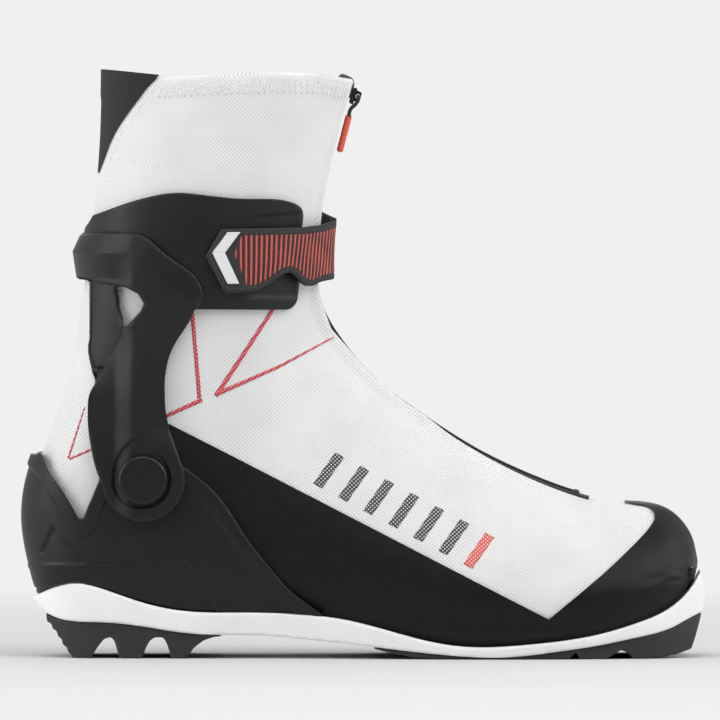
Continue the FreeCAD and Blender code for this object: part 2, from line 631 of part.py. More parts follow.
# ---------------------------------------------------------------- hinged cuff
ARM_LEFT = [(-257.8, 132.4), (-257.0, 121.4), (-256.5, 114.8), (-258.7, 110.4), (-259.6, 103.0),
            (-259.2, 95.0), (-257.8, 86.2), (-255.6, 77.4), (-252.2, 69.0)]
ARM_RIGHT = [(-215.7, 68.0), (-216.5, 75.2), (-218.2, 81.8), (-222.6, 95.0), (-224.0, 101.6),
             (-224.4, 108.2), (-224.4, 114.8), (-223.5, 121.4), (-221.8, 127.2), (-219.1, 132.4),
             (-214.7, 139.0), (-211.2, 146.1)]
FRAME_TOP = [(-208.1, 148.7), (-207.2, 153.1), (-209.4, 158.8), (-218.2, 166.3), (-227.0, 172.9),
             (-233.6, 178.2), (-240.2, 179.8), (-249.0, 180.2), (-258.7, 179.5), (-275.0, 177.5)]
FRAME_BACK = [(-275.0, 159.0), (-262.7, 159.4), (-257.8, 158.4)]
FRAME_WINDOW = [(-246.0, 155.6), (-242.4, 154.9), (-236.7, 152.2), (-234.5, 148.7), (-235.4, 146.1),
                (-242.0, 138.2), (-246.0, 147.8)]


def frame_outline():
    return plate(ARM_LEFT, [ARM_LEFT[-1], PIVOT], [PIVOT, ARM_RIGHT[0]], ARM_RIGHT,
                 [ARM_RIGHT[-1], FRAME_TOP[0]], FRAME_TOP, [FRAME_TOP[-1],
                                                            FRAME_BACK[0]], FRAME_BACK, [FRAME_BACK[-1],
                                                                                         ARM_LEFT[0]])


def cuff_frame():
    """Y-shaped arms from the ankle rivets to a band that runs round the back of the cuff."""
    outline = frame_outline().cut(polygon(FRAME_WINDOW))
    upper = block(-300.0, -100.0, -SPAN, SPAN, SHELL_LOW_Z, 200.0)
    shell = layer(FRAME_IN, FRAME_OUT, outline.common(upper))
    flat = block(-300.0, -100.0, -ARM_OUTER_Y, -ARM_INNER_Y, 40.0, ARM_TOP_Z)
    arm = outline.fuse(rod(ARM_END_R, PIVOT, -SPAN, SPAN)).common(flat)
    hole = rod(PIVOT_BUSH_R + RUNNING_GAP, PIVOT, -SPAN, SPAN)
    return shell.fuse(both(arm)).cut(hole)


WRAP_WINDOW = [(-247.4, 157.2), (-242.0, 156.2), (-235.8, 153.4), (-233.0, 148.9), (-234.2, 145.4),
               (-238.6, 140.4), (-238.6, 125.0), (-243.2, 125.0), (-243.2, 137.4)]
STRAP_RIVETS = ((-186.0, 172.5), (-198.0, 172.5))
WRAP_TOP = [(-285.0, 187.0), (-256.5, 187.0), (-244.6, 191.4), (-231.4, 195.4), (-218.0, 197.2),
            (-209.4, 196.5), (-187.4, 194.5), (-169.8, 193.2), (-165.4, 191.0), (-163.7, 186.0)]
WRAP_FRONT = [(-163.7, 186.0), (-164.6, 171.0), (-165.9, 153.0), (-167.4, 147.8), (-170.7, 145.6)]
WRAP_BOTTOM = [(-170.7, 145.6), (-211.2, 146.1), (-222.0, 134.0), (-240.0, 131.0), (-244.0, 146.0),
               (-250.0, 158.0), (-285.0, 160.0)]


def wrap_outline():
    corners = [[a, b] for a, b in zip(WRAP_BOTTOM, WRAP_BOTTOM[1:])]
    return plate(WRAP_TOP, WRAP_FRONT, *corners, [WRAP_BOTTOM[-1], WRAP_TOP[0]])


def rivet_holes():
    return Part.makeCompound([rod(RIVET_R + RUNNING_GAP, p, 20.0, SPAN) for p in STRAP_RIVETS])


def cuff_wrap():
    """Thin flexible panel under the frame, wrapped round the back and both sides of the ankle."""
    return layer(WRAP_IN, WRAP_OUT, wrap_outline().cut(polygon(WRAP_WINDOW))).cut(rivet_holes())


# ---------------------------------------------------------------- strap
STRAP_SIDE = [(-207.2, 169.8), (-199.8, 181.6), (-165.4, 182.6), (-156.6, 183.5), (-144.0, 185.2),
              (-144.0, 158.0), (-154.4, 158.0), (-160.2, 156.4), (-163.6, 159.4), (-167.0, 162.8),
              (-170.7, 162.8), (-178.6, 157.1), (-183.9, 154.9), (-198.4, 154.0), (-199.8, 155.3)]
STRAP_BASE_SIDE = [(-144.0, 186.0), (-157.0, 189.0), (-170.0, 188.6), (-200.0, 184.6), (-206.5, 180.0),
                   (-206.5, 166.0), (-200.0, 160.5), (-170.0, 160.0), (-144.0, 158.0)]


def strap_free():
    """The end of the strap that lifts off, from the middle of the shin to its pointed tip."""
    return layer(STRAP_IN, STRAP_OUT, polygon(STRAP_SIDE, -SPAN, -STRAP_SPLIT - 0.1))


def strap_base():
    """The fixed end of the strap, riveted to the wrap's medial side."""
    return layer(STRAP_IN, STRAP_OUT, polygon(STRAP_BASE_SIDE, -STRAP_SPLIT, SPAN)).cut(rivet_holes())


def strap_rivets():
    """Two rivets with a domed head, a spacer between strap and wrap, and a shank through both."""
    made = []
    for p in STRAP_RIVETS:
        shank = layer(WRAP_IN + 0.1, STRAP_OUT + 0.8, rod(RIVET_R, p, 20.0, SPAN))
        spacer = layer(WRAP_OUT + 0.06, STRAP_IN - 0.06, rod(RIVET_SPACER_R, p, 20.0, SPAN))
        head = layer(STRAP_OUT + 0.06, STRAP_OUT + 0.06 + RIVET_HEAD_T, rod(RIVET_HEAD_R, p, 20.0, SPAN))
        made.append(shank.fuse(spacer).fuse(head))
    return Part.makeCompound(made)


def strap_chevron():
    """Bent arrow welded on the strap near its tip."""
    outline = polygon([(-196.7, 180.0), (-191.4, 180.0), (-198.0, 171.2), (-191.8, 157.5), (-196.7, 157.1),
                       (-203.4, 171.2)], -SPAN, -20.0)
    return layer(CHEVRON_IN, CHEVRON_OUT, outline)


def pad_outline(grow):
    return polygon([(-201.0 - grow, 170.0), (-197.0, 178.0 + grow), (-174.0 + grow, 178.6 + grow),
                    (-174.0 + grow, 164.0 - grow), (-180.0, 160.2 - grow), (-196.0,
                                                                            158.6 - grow)], -SPAN, -15.0)


def hook_pad():
    """Hook tape inside the strap's end."""
    return layer(PAD_MID + 0.1, STRAP_IN - 0.08, pad_outline(0.0))


def loop_pad():
    """Loop tape on the wrap under the strap's end."""
    return layer(PAD_IN, PAD_MID, pad_outline(1.5))


PIECES = (outsole_heel, outsole_forefoot, toe_bar, midsole, lasting_board, insole, foot_lining, toe_puff,
          foot_cover, rand, heel_counter, pivot_rivets, pivot_caps, zip_tape_foot, zip_chain_foot,
          gusset_front, gusset_back, rand_ankle, shaft_cover, collar_elastic, shaft_padding,
          zip_tape_shaft, zip_chain_shaft, zip_garage, cuff_frame, cuff_wrap, loop_pad, strap_base,
          strap_rivets, strap_free, hook_pad, strap_chevron, zip_slider, zip_pull_cord, zip_pull_grip)

os.makedirs("parts", exist_ok=True)
for piece in PIECES:
    piece().exportStep(f"parts/{piece.__name__}.step")
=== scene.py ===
"""The looks of a cross-country skate boot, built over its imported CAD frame.

The frame's axes: +X towards the toe, +Y towards the inner (medial) side, +Z up, origin at the toe bar.
The fabric's surface is read back from the CAD by casting rays, and every soft or thin piece is a sheet at
some offset from it. Moulded pieces are the CAD's own shapes with soft edges, facets and grooves.
"""

import json
import math
import bpy
import numpy as np
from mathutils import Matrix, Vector
from mathutils.bvhtree import BVHTree


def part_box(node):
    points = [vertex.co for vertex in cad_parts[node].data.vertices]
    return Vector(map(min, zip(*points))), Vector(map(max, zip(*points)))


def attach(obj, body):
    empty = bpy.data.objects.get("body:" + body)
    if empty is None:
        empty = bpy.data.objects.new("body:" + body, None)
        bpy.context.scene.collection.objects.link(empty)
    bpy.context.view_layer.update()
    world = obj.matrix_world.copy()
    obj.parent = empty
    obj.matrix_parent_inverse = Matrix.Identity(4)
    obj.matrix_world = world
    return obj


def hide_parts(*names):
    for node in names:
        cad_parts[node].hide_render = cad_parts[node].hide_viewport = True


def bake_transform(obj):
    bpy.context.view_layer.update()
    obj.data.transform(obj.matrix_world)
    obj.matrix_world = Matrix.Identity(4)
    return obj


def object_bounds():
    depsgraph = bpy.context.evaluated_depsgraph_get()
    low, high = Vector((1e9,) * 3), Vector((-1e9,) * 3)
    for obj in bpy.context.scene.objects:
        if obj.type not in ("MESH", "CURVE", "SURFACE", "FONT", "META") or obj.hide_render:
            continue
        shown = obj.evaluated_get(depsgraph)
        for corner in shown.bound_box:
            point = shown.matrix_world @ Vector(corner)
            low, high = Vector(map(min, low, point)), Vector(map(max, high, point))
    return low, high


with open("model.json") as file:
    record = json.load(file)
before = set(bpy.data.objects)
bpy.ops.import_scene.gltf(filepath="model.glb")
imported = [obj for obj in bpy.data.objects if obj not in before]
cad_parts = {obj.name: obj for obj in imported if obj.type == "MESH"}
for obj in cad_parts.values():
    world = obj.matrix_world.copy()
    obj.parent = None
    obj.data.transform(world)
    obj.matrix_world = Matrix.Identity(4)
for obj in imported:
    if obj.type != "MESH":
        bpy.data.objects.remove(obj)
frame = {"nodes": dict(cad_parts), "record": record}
cad_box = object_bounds()

MM = 0.001                      # a millimetre in metres
NODES = frame["nodes"]
JOINTS = {j["name"]: j for j in frame["record"]["behaviour"]["joints"]}
PIVOT = np.array(JOINTS["cuff_flex"]["pos_m"]) / MM  # the ankle axis
GROUND = cad_box[0][2]

# ---------------------------------------------------------------- driving values, in mm
# Side-view lines that the fabric's rings follow, toe to collar: underside or back, then ridge or front.
FAN = (
    ((5.0, 24.0), (8.4, 37.0)), ((0.5, 15.5), (6.0, 46.0)), ((-8.0, 10.5), (-1.5, 55.5)),
    ((-22.0, 5.0), (-14.0, 60.0)), ((-42.0, 0.0), (-32.0, 61.3)), ((-64.0, -2.5), (-52.0, 67.0)),
    ((-88.0, -3.3), (-74.0, 77.0)), ((-112.0, -0.5), (-95.0, 89.0)), ((-138.0, 5.0), (-113.0, 101.0)),
    ((-166.0, 8.5), (-129.0, 113.0)), ((-196.0, 9.5), (-140.5, 125.0)), ((-228.0, 11.5), (-148.0, 135.0)),
    ((-258.0, 15.5), (-152.5, 142.0)), ((-274.5, 19.5), (-155.0, 148.0)), ((-280.5, 33.0), (-156.5, 154.5)),
    ((-284.0, 52.0), (-157.0, 162.0)), ((-282.0, 72.0), (-157.0, 170.0)), ((-274.8, 92.0), (-157.0, 178.0)),
    ((-266.8, 115.0), (-156.0, 187.0)), ((-261.3, 146.0), (-154.5, 197.0)),
    ((-255.7, 186.0), (-151.5, 211.0)), ((-252.5, 220.0), (-146.5, 231.0)),
    ((-251.6, 247.6), (-140.8, 245.4)),
)
RING_POINTS = 48
RING_HALF_WIDTH = 45.0
ROWS, COLUMNS = 210, 256        # of the fabric's fine grid
FABRIC_T = 1.5
HEM_DEPTH = 9.0                 # the collar's turned edge
ZIP_HALF = 4.4                  # half width of the gap in the fabric over the zip
ZIP_GAP_DEPTH = 1.15
ZIP_LOW_X = -41.0
COIL_PITCH = 1.35
CUTTER_REACH = 90.0             # half length of the prisms that trim the sheets
DOT_PITCH = 1.8                 # perforation of the softshell
STRIPE_PITCH = 2.5

RAND_LINE = [(-222.6, 95.9), (-56.3, 10.6), (-33.4, 29.5), (-16.0, 45.6), (-11.0, 51.2), (-9.3, 55.2),
             (-10.8, 58.0), (-15.8, 59.7), (-22.5, 60.9)]
ELASTIC_LINE = [(-226.8, 262.0), (-227.9, 247.2), (-231.4, 243.8), (-235.8, 238.2), (-242.4, 229.4),
                (-248.2, 219.8), (-251.4, 211.8), (-253.9, 205.6)]
COLLAR_LINE = [(-262.0, 249.4), (-228.0, 247.6), (-203.0, 248.8), (-176.0, 249.8), (-156.0, 249.0),
               (-141.0, 246.4)]
COLLAR_REACH = 26.0             # the fabric is stretched to the collar's line over this height
COLLAR_ROLL = 0.8               # how far the hem's turned edge stands above the fabric's last row

# How far the zip stands out over the ridge, by distance along the boot: flush on the shaft, proud at its end.
ZIP_RISE = [(-128.0, -0.3), (-105.0, -0.1), (-85.0, 0.25), (-62.0, 1.3), (-41.0, 2.0)]


# ---------------------------------------------------------------- numbers and meshes
def spline_weights(knots, at):
    """Matrix that turns values at the knots into a natural cubic spline's values at other places."""
    count = len(knots)
    step = np.diff(knots)
    left, right = np.eye(count), np.zeros((count, count))
    for i in range(1, count - 1):
        left[i, i - 1:i + 2] = step[i - 1], 2 * (step[i - 1] + step[i]), step[i]
        right[i, i - 1:i + 2] = 6 / step[i - 1], -6 / step[i - 1] - 6 / step[i], 6 / step[i]
    second = np.linalg.solve(left, right)
    weights = np.zeros((len(at), count))
    for row, t in enumerate(at):
        i = min(max(int(np.searchsorted(knots, t)) - 1, 0), count - 2)
        h = step[i]
        p, q = (knots[i + 1] - t) / h, (t - knots[i]) / h
        weights[row, i] += p
        weights[row, i + 1] += q
        weights[row] += ((p ** 3 - p) * second[i] + (q ** 3 - q) * second[i + 1]) * h * h / 6
    return weights


def lengths_along(points):
    """Distance of each point of a line from its start, measured along the line."""
    return np.concatenate([[0], np.cumsum(np.linalg.norm(np.diff(points, axis=0), axis=1))])


def at_length(s, lengths, points):
    """The place at distance s along a line of points."""
    return np.array([np.interp(s, lengths, points[:, i]) for i in range(points.shape[1])])


def unit(vectors):
    """The same directions with length 1."""
    return vectors / np.linalg.norm(vectors, axis=-1, keepdims=True)


def smooth_line(points, count):
    """A smooth curve through a few points, as count points evenly spread along it."""
    points = np.array(points, float)
    knots = lengths_along(points)
    fine = spline_weights(knots, np.linspace(0, knots[-1], count * 6)) @ points
    return even_line(fine, count)


def even_line(points, count):
    """count points evenly spread along a polyline."""
    points = np.array(points, float)
    lengths = lengths_along(points)
    return at_length(np.linspace(0, lengths[-1], count), lengths, points).T


def ramp(value, low, high):
    """0 below low, 1 above high, smooth between."""
    t = np.clip((value - low) / (high - low), 0.0, 1.0)
    return t * t * (3 - 2 * t)


def mesh_object(name, vertices, faces, loop_uv=None):
    """A smooth-shaded object from vertices in mm."""
    mesh = bpy.data.meshes.new(name)
    mesh.from_pydata((np.asarray(vertices) * MM).tolist(), [], faces)
    mesh.validate()
    mesh.polygons.foreach_set("use_smooth", [True] * len(mesh.polygons))
    if loop_uv is not None:
        layer = mesh.uv_layers.new(name="Pattern")
        layer.data.foreach_set("uv", np.asarray(loop_uv, float).ravel())
    obj = bpy.data.objects.new(name, mesh)
    bpy.context.scene.collection.objects.link(obj)
    return obj


def thick_grid(name, outer, inner, closed=False, uv=None, uv_other=None):
    """A closed solid between two grids of points. With closed, its columns run right round. uv holds the
    pattern's place of each point in mm; uv_other holds it for the second half of the columns."""
    rows, columns = outer.shape[:2]
    size = rows * columns
    vertices = np.concatenate([outer.reshape(-1, 3), inner.reshape(-1, 3)])
    faces, halves = [], []
    last = columns if closed else columns - 1
    for r in range(rows - 1):
        for c in range(last):
            d = (c + 1) % columns
            quad = (r * columns + c, r * columns + d, (r + 1) * columns + d, (r + 1) * columns + c)
            second = 2 * c >= columns
            faces += [quad, tuple(i + size for i in quad[::-1])]
            halves += [second, second]
    rims = [[r * columns + c for c in range(columns)] for r in (0, rows - 1)]
    for rim, flip in zip(rims, (False, True)):
        for k in range(last):
            a, b = rim[k], rim[(k + 1) % columns]
            face = (b, a, a + size, b + size)
            faces.append(face[::-1] if flip else face)
            halves.append(2 * k >= columns)
    if not closed:
        for c, flip in ((0, True), (columns - 1, False)):
            for r in range(rows - 1):
                a, b = r * columns + c, (r + 1) * columns + c
                face = (b, a, a + size, b + size)
                faces.append(face[::-1] if flip else face)
                halves.append(c > 0)
    loop_uv = None
    if uv is not None:
        first = np.concatenate([uv.reshape(-1, 2)] * 2)
        other = np.concatenate([(uv if uv_other is None else uv_other).reshape(-1, 2)] * 2)
        loop_uv = [(other if half else first)[i] for face, half in zip(faces, halves) for i in face]
    return mesh_object(name, vertices, faces, loop_uv)


def applied(obj):
    """Bakes an object's modifiers into its mesh."""
    depsgraph = bpy.context.evaluated_depsgraph_get()
    mesh = bpy.data.meshes.new_from_object(obj.evaluated_get(depsgraph), depsgraph=depsgraph)
    obj.modifiers.clear()
    old = obj.data
    obj.data = mesh
    bpy.data.meshes.remove(old)
    return obj


def joined(name, objects):
    """One object from several that share a material."""
    vertices, faces, uvs = [], [], []
    for obj in objects:
        base = len(vertices)
        vertices += [v.co / MM for v in obj.data.vertices]
        faces += [tuple(base + i for i in p.vertices) for p in obj.data.polygons]
        layer = obj.data.uv_layers.get("Pattern")
        uvs += [tuple(d.uv) for d in layer.data] if layer else [(0.0, 0.0)] * len(obj.data.loops)
        old = obj.data
        bpy.data.objects.remove(obj)
        bpy.data.meshes.remove(old)
    return mesh_object(name, vertices, faces, uvs)


def prism(outline):
    """A side-view outline, in mm, pushed right through the boot."""
    outline = [tuple(p) for p in outline]
    area = sum(a[0] * b[1] - b[0] * a[1] for a, b in zip(outline, outline[1:] + outline[:1]))
    if area < 0:
        outline = outline[::-1]
    count = len(outline)
    vertices = [(x, y, z) for y in (-CUTTER_REACH, CUTTER_REACH) for x, z in outline]
    faces = [tuple(range(count)), tuple(range(2 * count - 1, count - 1, -1))]
    faces += [(i, i + count, (i + 1) % count + count, (i + 1) % count) for i in range(count)]
    return mesh_object("cutter", vertices, faces)


def trimmed(obj, cutter, operation="INTERSECT"):
    """The part of a closed piece inside (or outside) a closed cutter."""
    modifier = obj.modifiers.new("trim", "BOOLEAN")
    modifier.solver = "EXACT"
    modifier.operation = operation
    modifier.object = cutter
    applied(obj)
    mesh = cutter.data
    bpy.data.objects.remove(cutter)
    bpy.data.meshes.remove(mesh)
    obj.data.polygons.foreach_set("use_smooth", [True] * len(obj.data.polygons))
    crease(obj)
    return obj


def crease(obj, degrees=38.0):
    """Keeps edges sharper than the angle crisp in the shading."""
    obj.data.set_sharp_from_angle(angle=math.radians(degrees))


def tube(path, radius, sides=10, ends=True):
    """Vertices and faces of a round tube along a path of points in mm. radius may vary along it."""
    path = np.array(path, float)
    radius = np.broadcast_to(np.asarray(radius, float), (len(path),))
    way = unit(np.gradient(path, axis=0))
    side = np.cross(way[0], (0.0, 1.0, 0.0))
    if np.linalg.norm(side) < 0.2:
        side = np.cross(way[0], (0.0, 0.0, 1.0))
    vertices = []
    for p, w, r in zip(path, way, radius):
        side = unit(side - w * side.dot(w))
        up = np.cross(w, side)
        vertices += [p + r * (side * math.cos(a) + up * math.sin(a))
                     for a in (2 * math.pi * k / sides for k in range(sides))]
    faces = []
    for i in range(len(path) - 1):
        for k in range(sides):
            n = (k + 1) % sides
            faces.append((i * sides + k, i * sides + n, (i + 1) * sides + n, (i + 1) * sides + k))
    if ends:
        faces.append(tuple(range(sides))[::-1])
        faces.append(tuple(range((len(path) - 1) * sides, len(path) * sides)))
    return vertices, faces


def many(name, parts):
    """One object from many (vertices, faces) pairs."""
    vertices, faces = [], []
    for v, f in parts:
        base = len(vertices)
        vertices += list(v)
        faces += [tuple(base + i for i in face) for face in f]
    return mesh_object(name, vertices, faces)


def bead(centre, along, across, up):
    """A small rounded bead with three half axes, as vertices and faces."""
    vertices, faces = [centre - along], []
    rings, sides = 3, 6
    for i in range(1, rings + 1):
        a = math.pi * i / (rings + 1)
        for k in range(sides):
            b = 2 * math.pi * k / sides
            spoke = across * math.cos(b) + up * math.sin(b)
            vertices.append(centre - along * math.cos(a) + spoke * math.sin(a))
    vertices.append(centre + along)
    for k in range(sides):
        n = (k + 1) % sides
        faces.append((0, 1 + n, 1 + k))
        for i in range(rings - 1):
            p = 1 + i * sides
            faces.append((p + k, p + n, p + sides + n, p + sides + k))
        p = 1 + (rings - 1) * sides
        faces.append((p + k, p + n, len(vertices) - 1))
    return vertices, faces


# ---------------------------------------------------------------- the fabric's surface, read from the CAD
def tree_of(*names):
    """The surfaces of some CAD nodes together, for casting rays."""
    vertices, polygons = [], []
    for name in names:
        mesh = NODES[name].data
        base = len(vertices)
        vertices += [v.co / MM for v in mesh.vertices]
        polygons += [[base + i for i in p.vertices] for p in mesh.polygons]
    return BVHTree.FromPolygons(vertices, polygons)


def side_point(xz):
    """A side-view place on the boot's middle plane."""
    return Vector((xz[0], 0.0, xz[1]))


def fabric_rings():
    """Points on the outside of the CAD's fabric, ring by ring, each from the ridge round the lateral side."""
    cover = tree_of("foot_cover", "gusset_front", "gusset_back", "shaft_cover", "collar_elastic",
                    "lasting_board")
    coil = tree_of("zip_chain_foot", "zip_chain_shaft")
    coil_proud = 0.5
    far = 150.0
    rings = []
    for under, over in FAN:
        low, top = side_point(under), side_point(over)
        centre, up, half = (low + top) / 2, (top - low).normalized(), (top - low).length / 2
        ring = []
        for j in range(RING_POINTS):
            a = 2 * math.pi * j / RING_POINTS
            way = up * math.cos(a) * half + Vector((0, -1, 0)) * math.sin(a) * RING_HALF_WIDTH
            way.normalize()
            hit = cover.ray_cast(centre + way * far, -way, far - 1.0)[0]
            if hit is None:
                hit = coil.ray_cast(centre + way * far, -way, far - 1.0)[0]
                hit = None if hit is None else hit - way * coil_proud
            ring.append([np.nan] * 3 if hit is None else list(hit))
        ring = np.array(ring)
        found = ~np.isnan(ring[:, 0])
        places = np.arange(RING_POINTS)
        for axis in range(3):
            ring[:, axis] = np.interp(places, places[found], ring[found, axis], period=RING_POINTS)
        rings.append(ring)
    return rings


def toe_closure(first, second):
    """Two more rings in front of the first, that close the toe in a shallow dome."""
    centre = first.mean(axis=0)
    forward = unit(centre - second.mean(axis=0))
    return [centre + (first - centre) * 0.04 + forward * 1.5, centre + (first - centre) * 0.6 + forward * 1.1]


def even_ring(ring):
    """A dense ring made even, with column 0 on the ridge and the middle column on the underside."""
    half = len(ring) // 2
    one = even_line(ring[:half + 1], COLUMNS // 2 + 1)
    two = even_line(np.concatenate([ring[half:], ring[:1]]), COLUMNS // 2 + 1)
    return np.concatenate([one[:-1], two[:-1]])


def flat_pattern(ring, up, side):
    """Where each point of a ring lies when that side of the fabric is laid flat, in mm."""
    columns = np.arange(COLUMNS // 2 + 1) if side < 0 else np.arange(COLUMNS, COLUMNS // 2 - 1, -1) % COLUMNS
    half = ring[columns]
    at = lengths_along(half)
    widest = int(np.argmax(np.abs(half[:, 1])))
    flat = half[widest][[0, 2]] + np.outer(at[widest] - at, up)
    result = np.zeros((COLUMNS, 2))
    result[columns] = flat
    return result


def fabric_grid():
    """The fabric's outside as a fine grid: rows from toe to collar, columns right round from the ridge."""
    rings = fabric_rings()
    rings = toe_closure(rings[0], rings[1]) + rings
    steps = np.array([np.mean(np.linalg.norm(b - a, axis=1)) for a, b in zip(rings, rings[1:])])
    knots = np.concatenate([[0], np.cumsum(np.maximum(steps, 0.5))])
    along = spline_weights(knots, np.linspace(0, knots[-1], ROWS))
    lap = 6
    wrapped = [np.concatenate([r[-lap:], r, r[:lap + 1]]) for r in rings]
    around = spline_weights(np.arange(-lap, RING_POINTS + lap + 1.0), np.arange(RING_POINTS * 16) / 16)
    dense = np.einsum("dj,rjk->rdk", around, np.array(wrapped))
    dense = np.einsum("nr,rdk->ndk", along, dense)
    last_x = dense[-1, :, 0]
    rise = np.interp(last_x, *zip(*COLLAR_LINE)) - COLLAR_ROLL - np.interp(last_x, *zip(*FAN[-1]))
    below_collar = np.linalg.norm(dense - dense[-1:], axis=2)
    dense[..., 2] += rise * (1 - ramp(below_collar, 0.0, COLLAR_REACH))
    return np.array([even_ring(ring) for ring in dense])


def grid_normals(grid):
    """Outward directions of the fabric's grid. The toe's first rows share one set."""
    slope_row = np.gradient(grid, axis=0)
    slope_column = (np.roll(grid, -1, axis=1) - np.roll(grid, 1, axis=1)) / 2
    normals = np.cross(slope_column, slope_row)
    normals /= np.linalg.norm(normals, axis=2)[:, :, None] + 1e-9
    middle, quarter = len(grid) // 2, grid.shape[1] // 4
    outside = grid[middle, quarter] - grid[middle].mean(axis=0)
    if normals[middle, quarter].dot(outside) < 0:
        normals = -normals
    normals[:3] = normals[3]
    return normals


def distance_from_ridge(grid):
    """How far each point of the grid lies from the ridge, measured round its ring."""
    result = []
    for ring in grid:
        lengths = lengths_along(np.concatenate([ring, ring[:1]]))
        result.append(np.minimum(lengths[:-1], lengths[-1] - lengths[:-1]))
    return np.array(result)


def distance_from_collar(grid):
    """How far each point of the grid lies below the collar, measured down its column."""
    steps = np.linalg.norm(np.diff(grid, axis=0), axis=2)
    return np.concatenate([np.cumsum(steps[::-1], axis=0)[::-1], np.zeros((1, grid.shape[1]))])


SKIN = fabric_grid()
NORMAL = grid_normals(SKIN)
FROM_RIDGE = distance_from_ridge(SKIN)
FROM_COLLAR = distance_from_collar(SKIN)
RISE = unit((SKIN[:, 0] - SKIN[:, COLUMNS // 2])[:, [0, 2]])
LATERAL_UV, MEDIAL_UV = [np.array([flat_pattern(ring, up, side) for ring, up in zip(SKIN, RISE)])
                         for side in (-1, 1)]


def surface_tree(grid, closed=False):
    """A grid of points as a surface for casting rays. With closed, its columns run right round."""
    rows, columns = grid.shape[:2]
    polygons = []
    for r in range(rows - 1):
        for c in range(columns if closed else columns - 1):
            d = (c + 1) % columns
            polygons.append((r * columns + c, r * columns + d, (r + 1) * columns + d, (r + 1) * columns + c))
    return BVHTree.FromPolygons(grid.reshape(-1, 3).tolist(), polygons)


def skin_tree(offset=0.0):
    """The fabric's surface, moved outwards by offset, as a surface for casting rays."""
    lift = np.broadcast_to(offset, (ROWS, COLUMNS))[..., None]
    return surface_tree(SKIN + NORMAL * lift, closed=True)


SKIN_TREE = skin_tree()


def seen_from(side, x, z, tree=None):
    """The point that a line of sight along Y meets, and the surface's normal there. side is -1 or +1."""
    hit, normal, _, _ = (tree or SKIN_TREE).ray_cast(Vector((x, side * 200.0, z)), Vector((0.0, -side, 0.0)))
    if hit is None:
        return None
    if normal.y * side < 0:
        normal = -normal
    return np.array(hit), np.array(normal)


def on_fabric(piece, slot, *nodes):
    """The piece is sewn to or printed on the fabric, and its place is baked into its mesh. It takes the place
    of the nodes."""
    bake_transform(piece)
    if nodes:
        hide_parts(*nodes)


def on_body(piece, body, slot, *nodes):
    """The piece is fixed to one body, and takes the place of the nodes."""
    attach(piece, body)
    if nodes:
        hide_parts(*nodes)


def paint(piece, material):
    """Gives the piece its one material."""
    piece.data.materials.clear()
    piece.data.materials.append(material)
    return piece


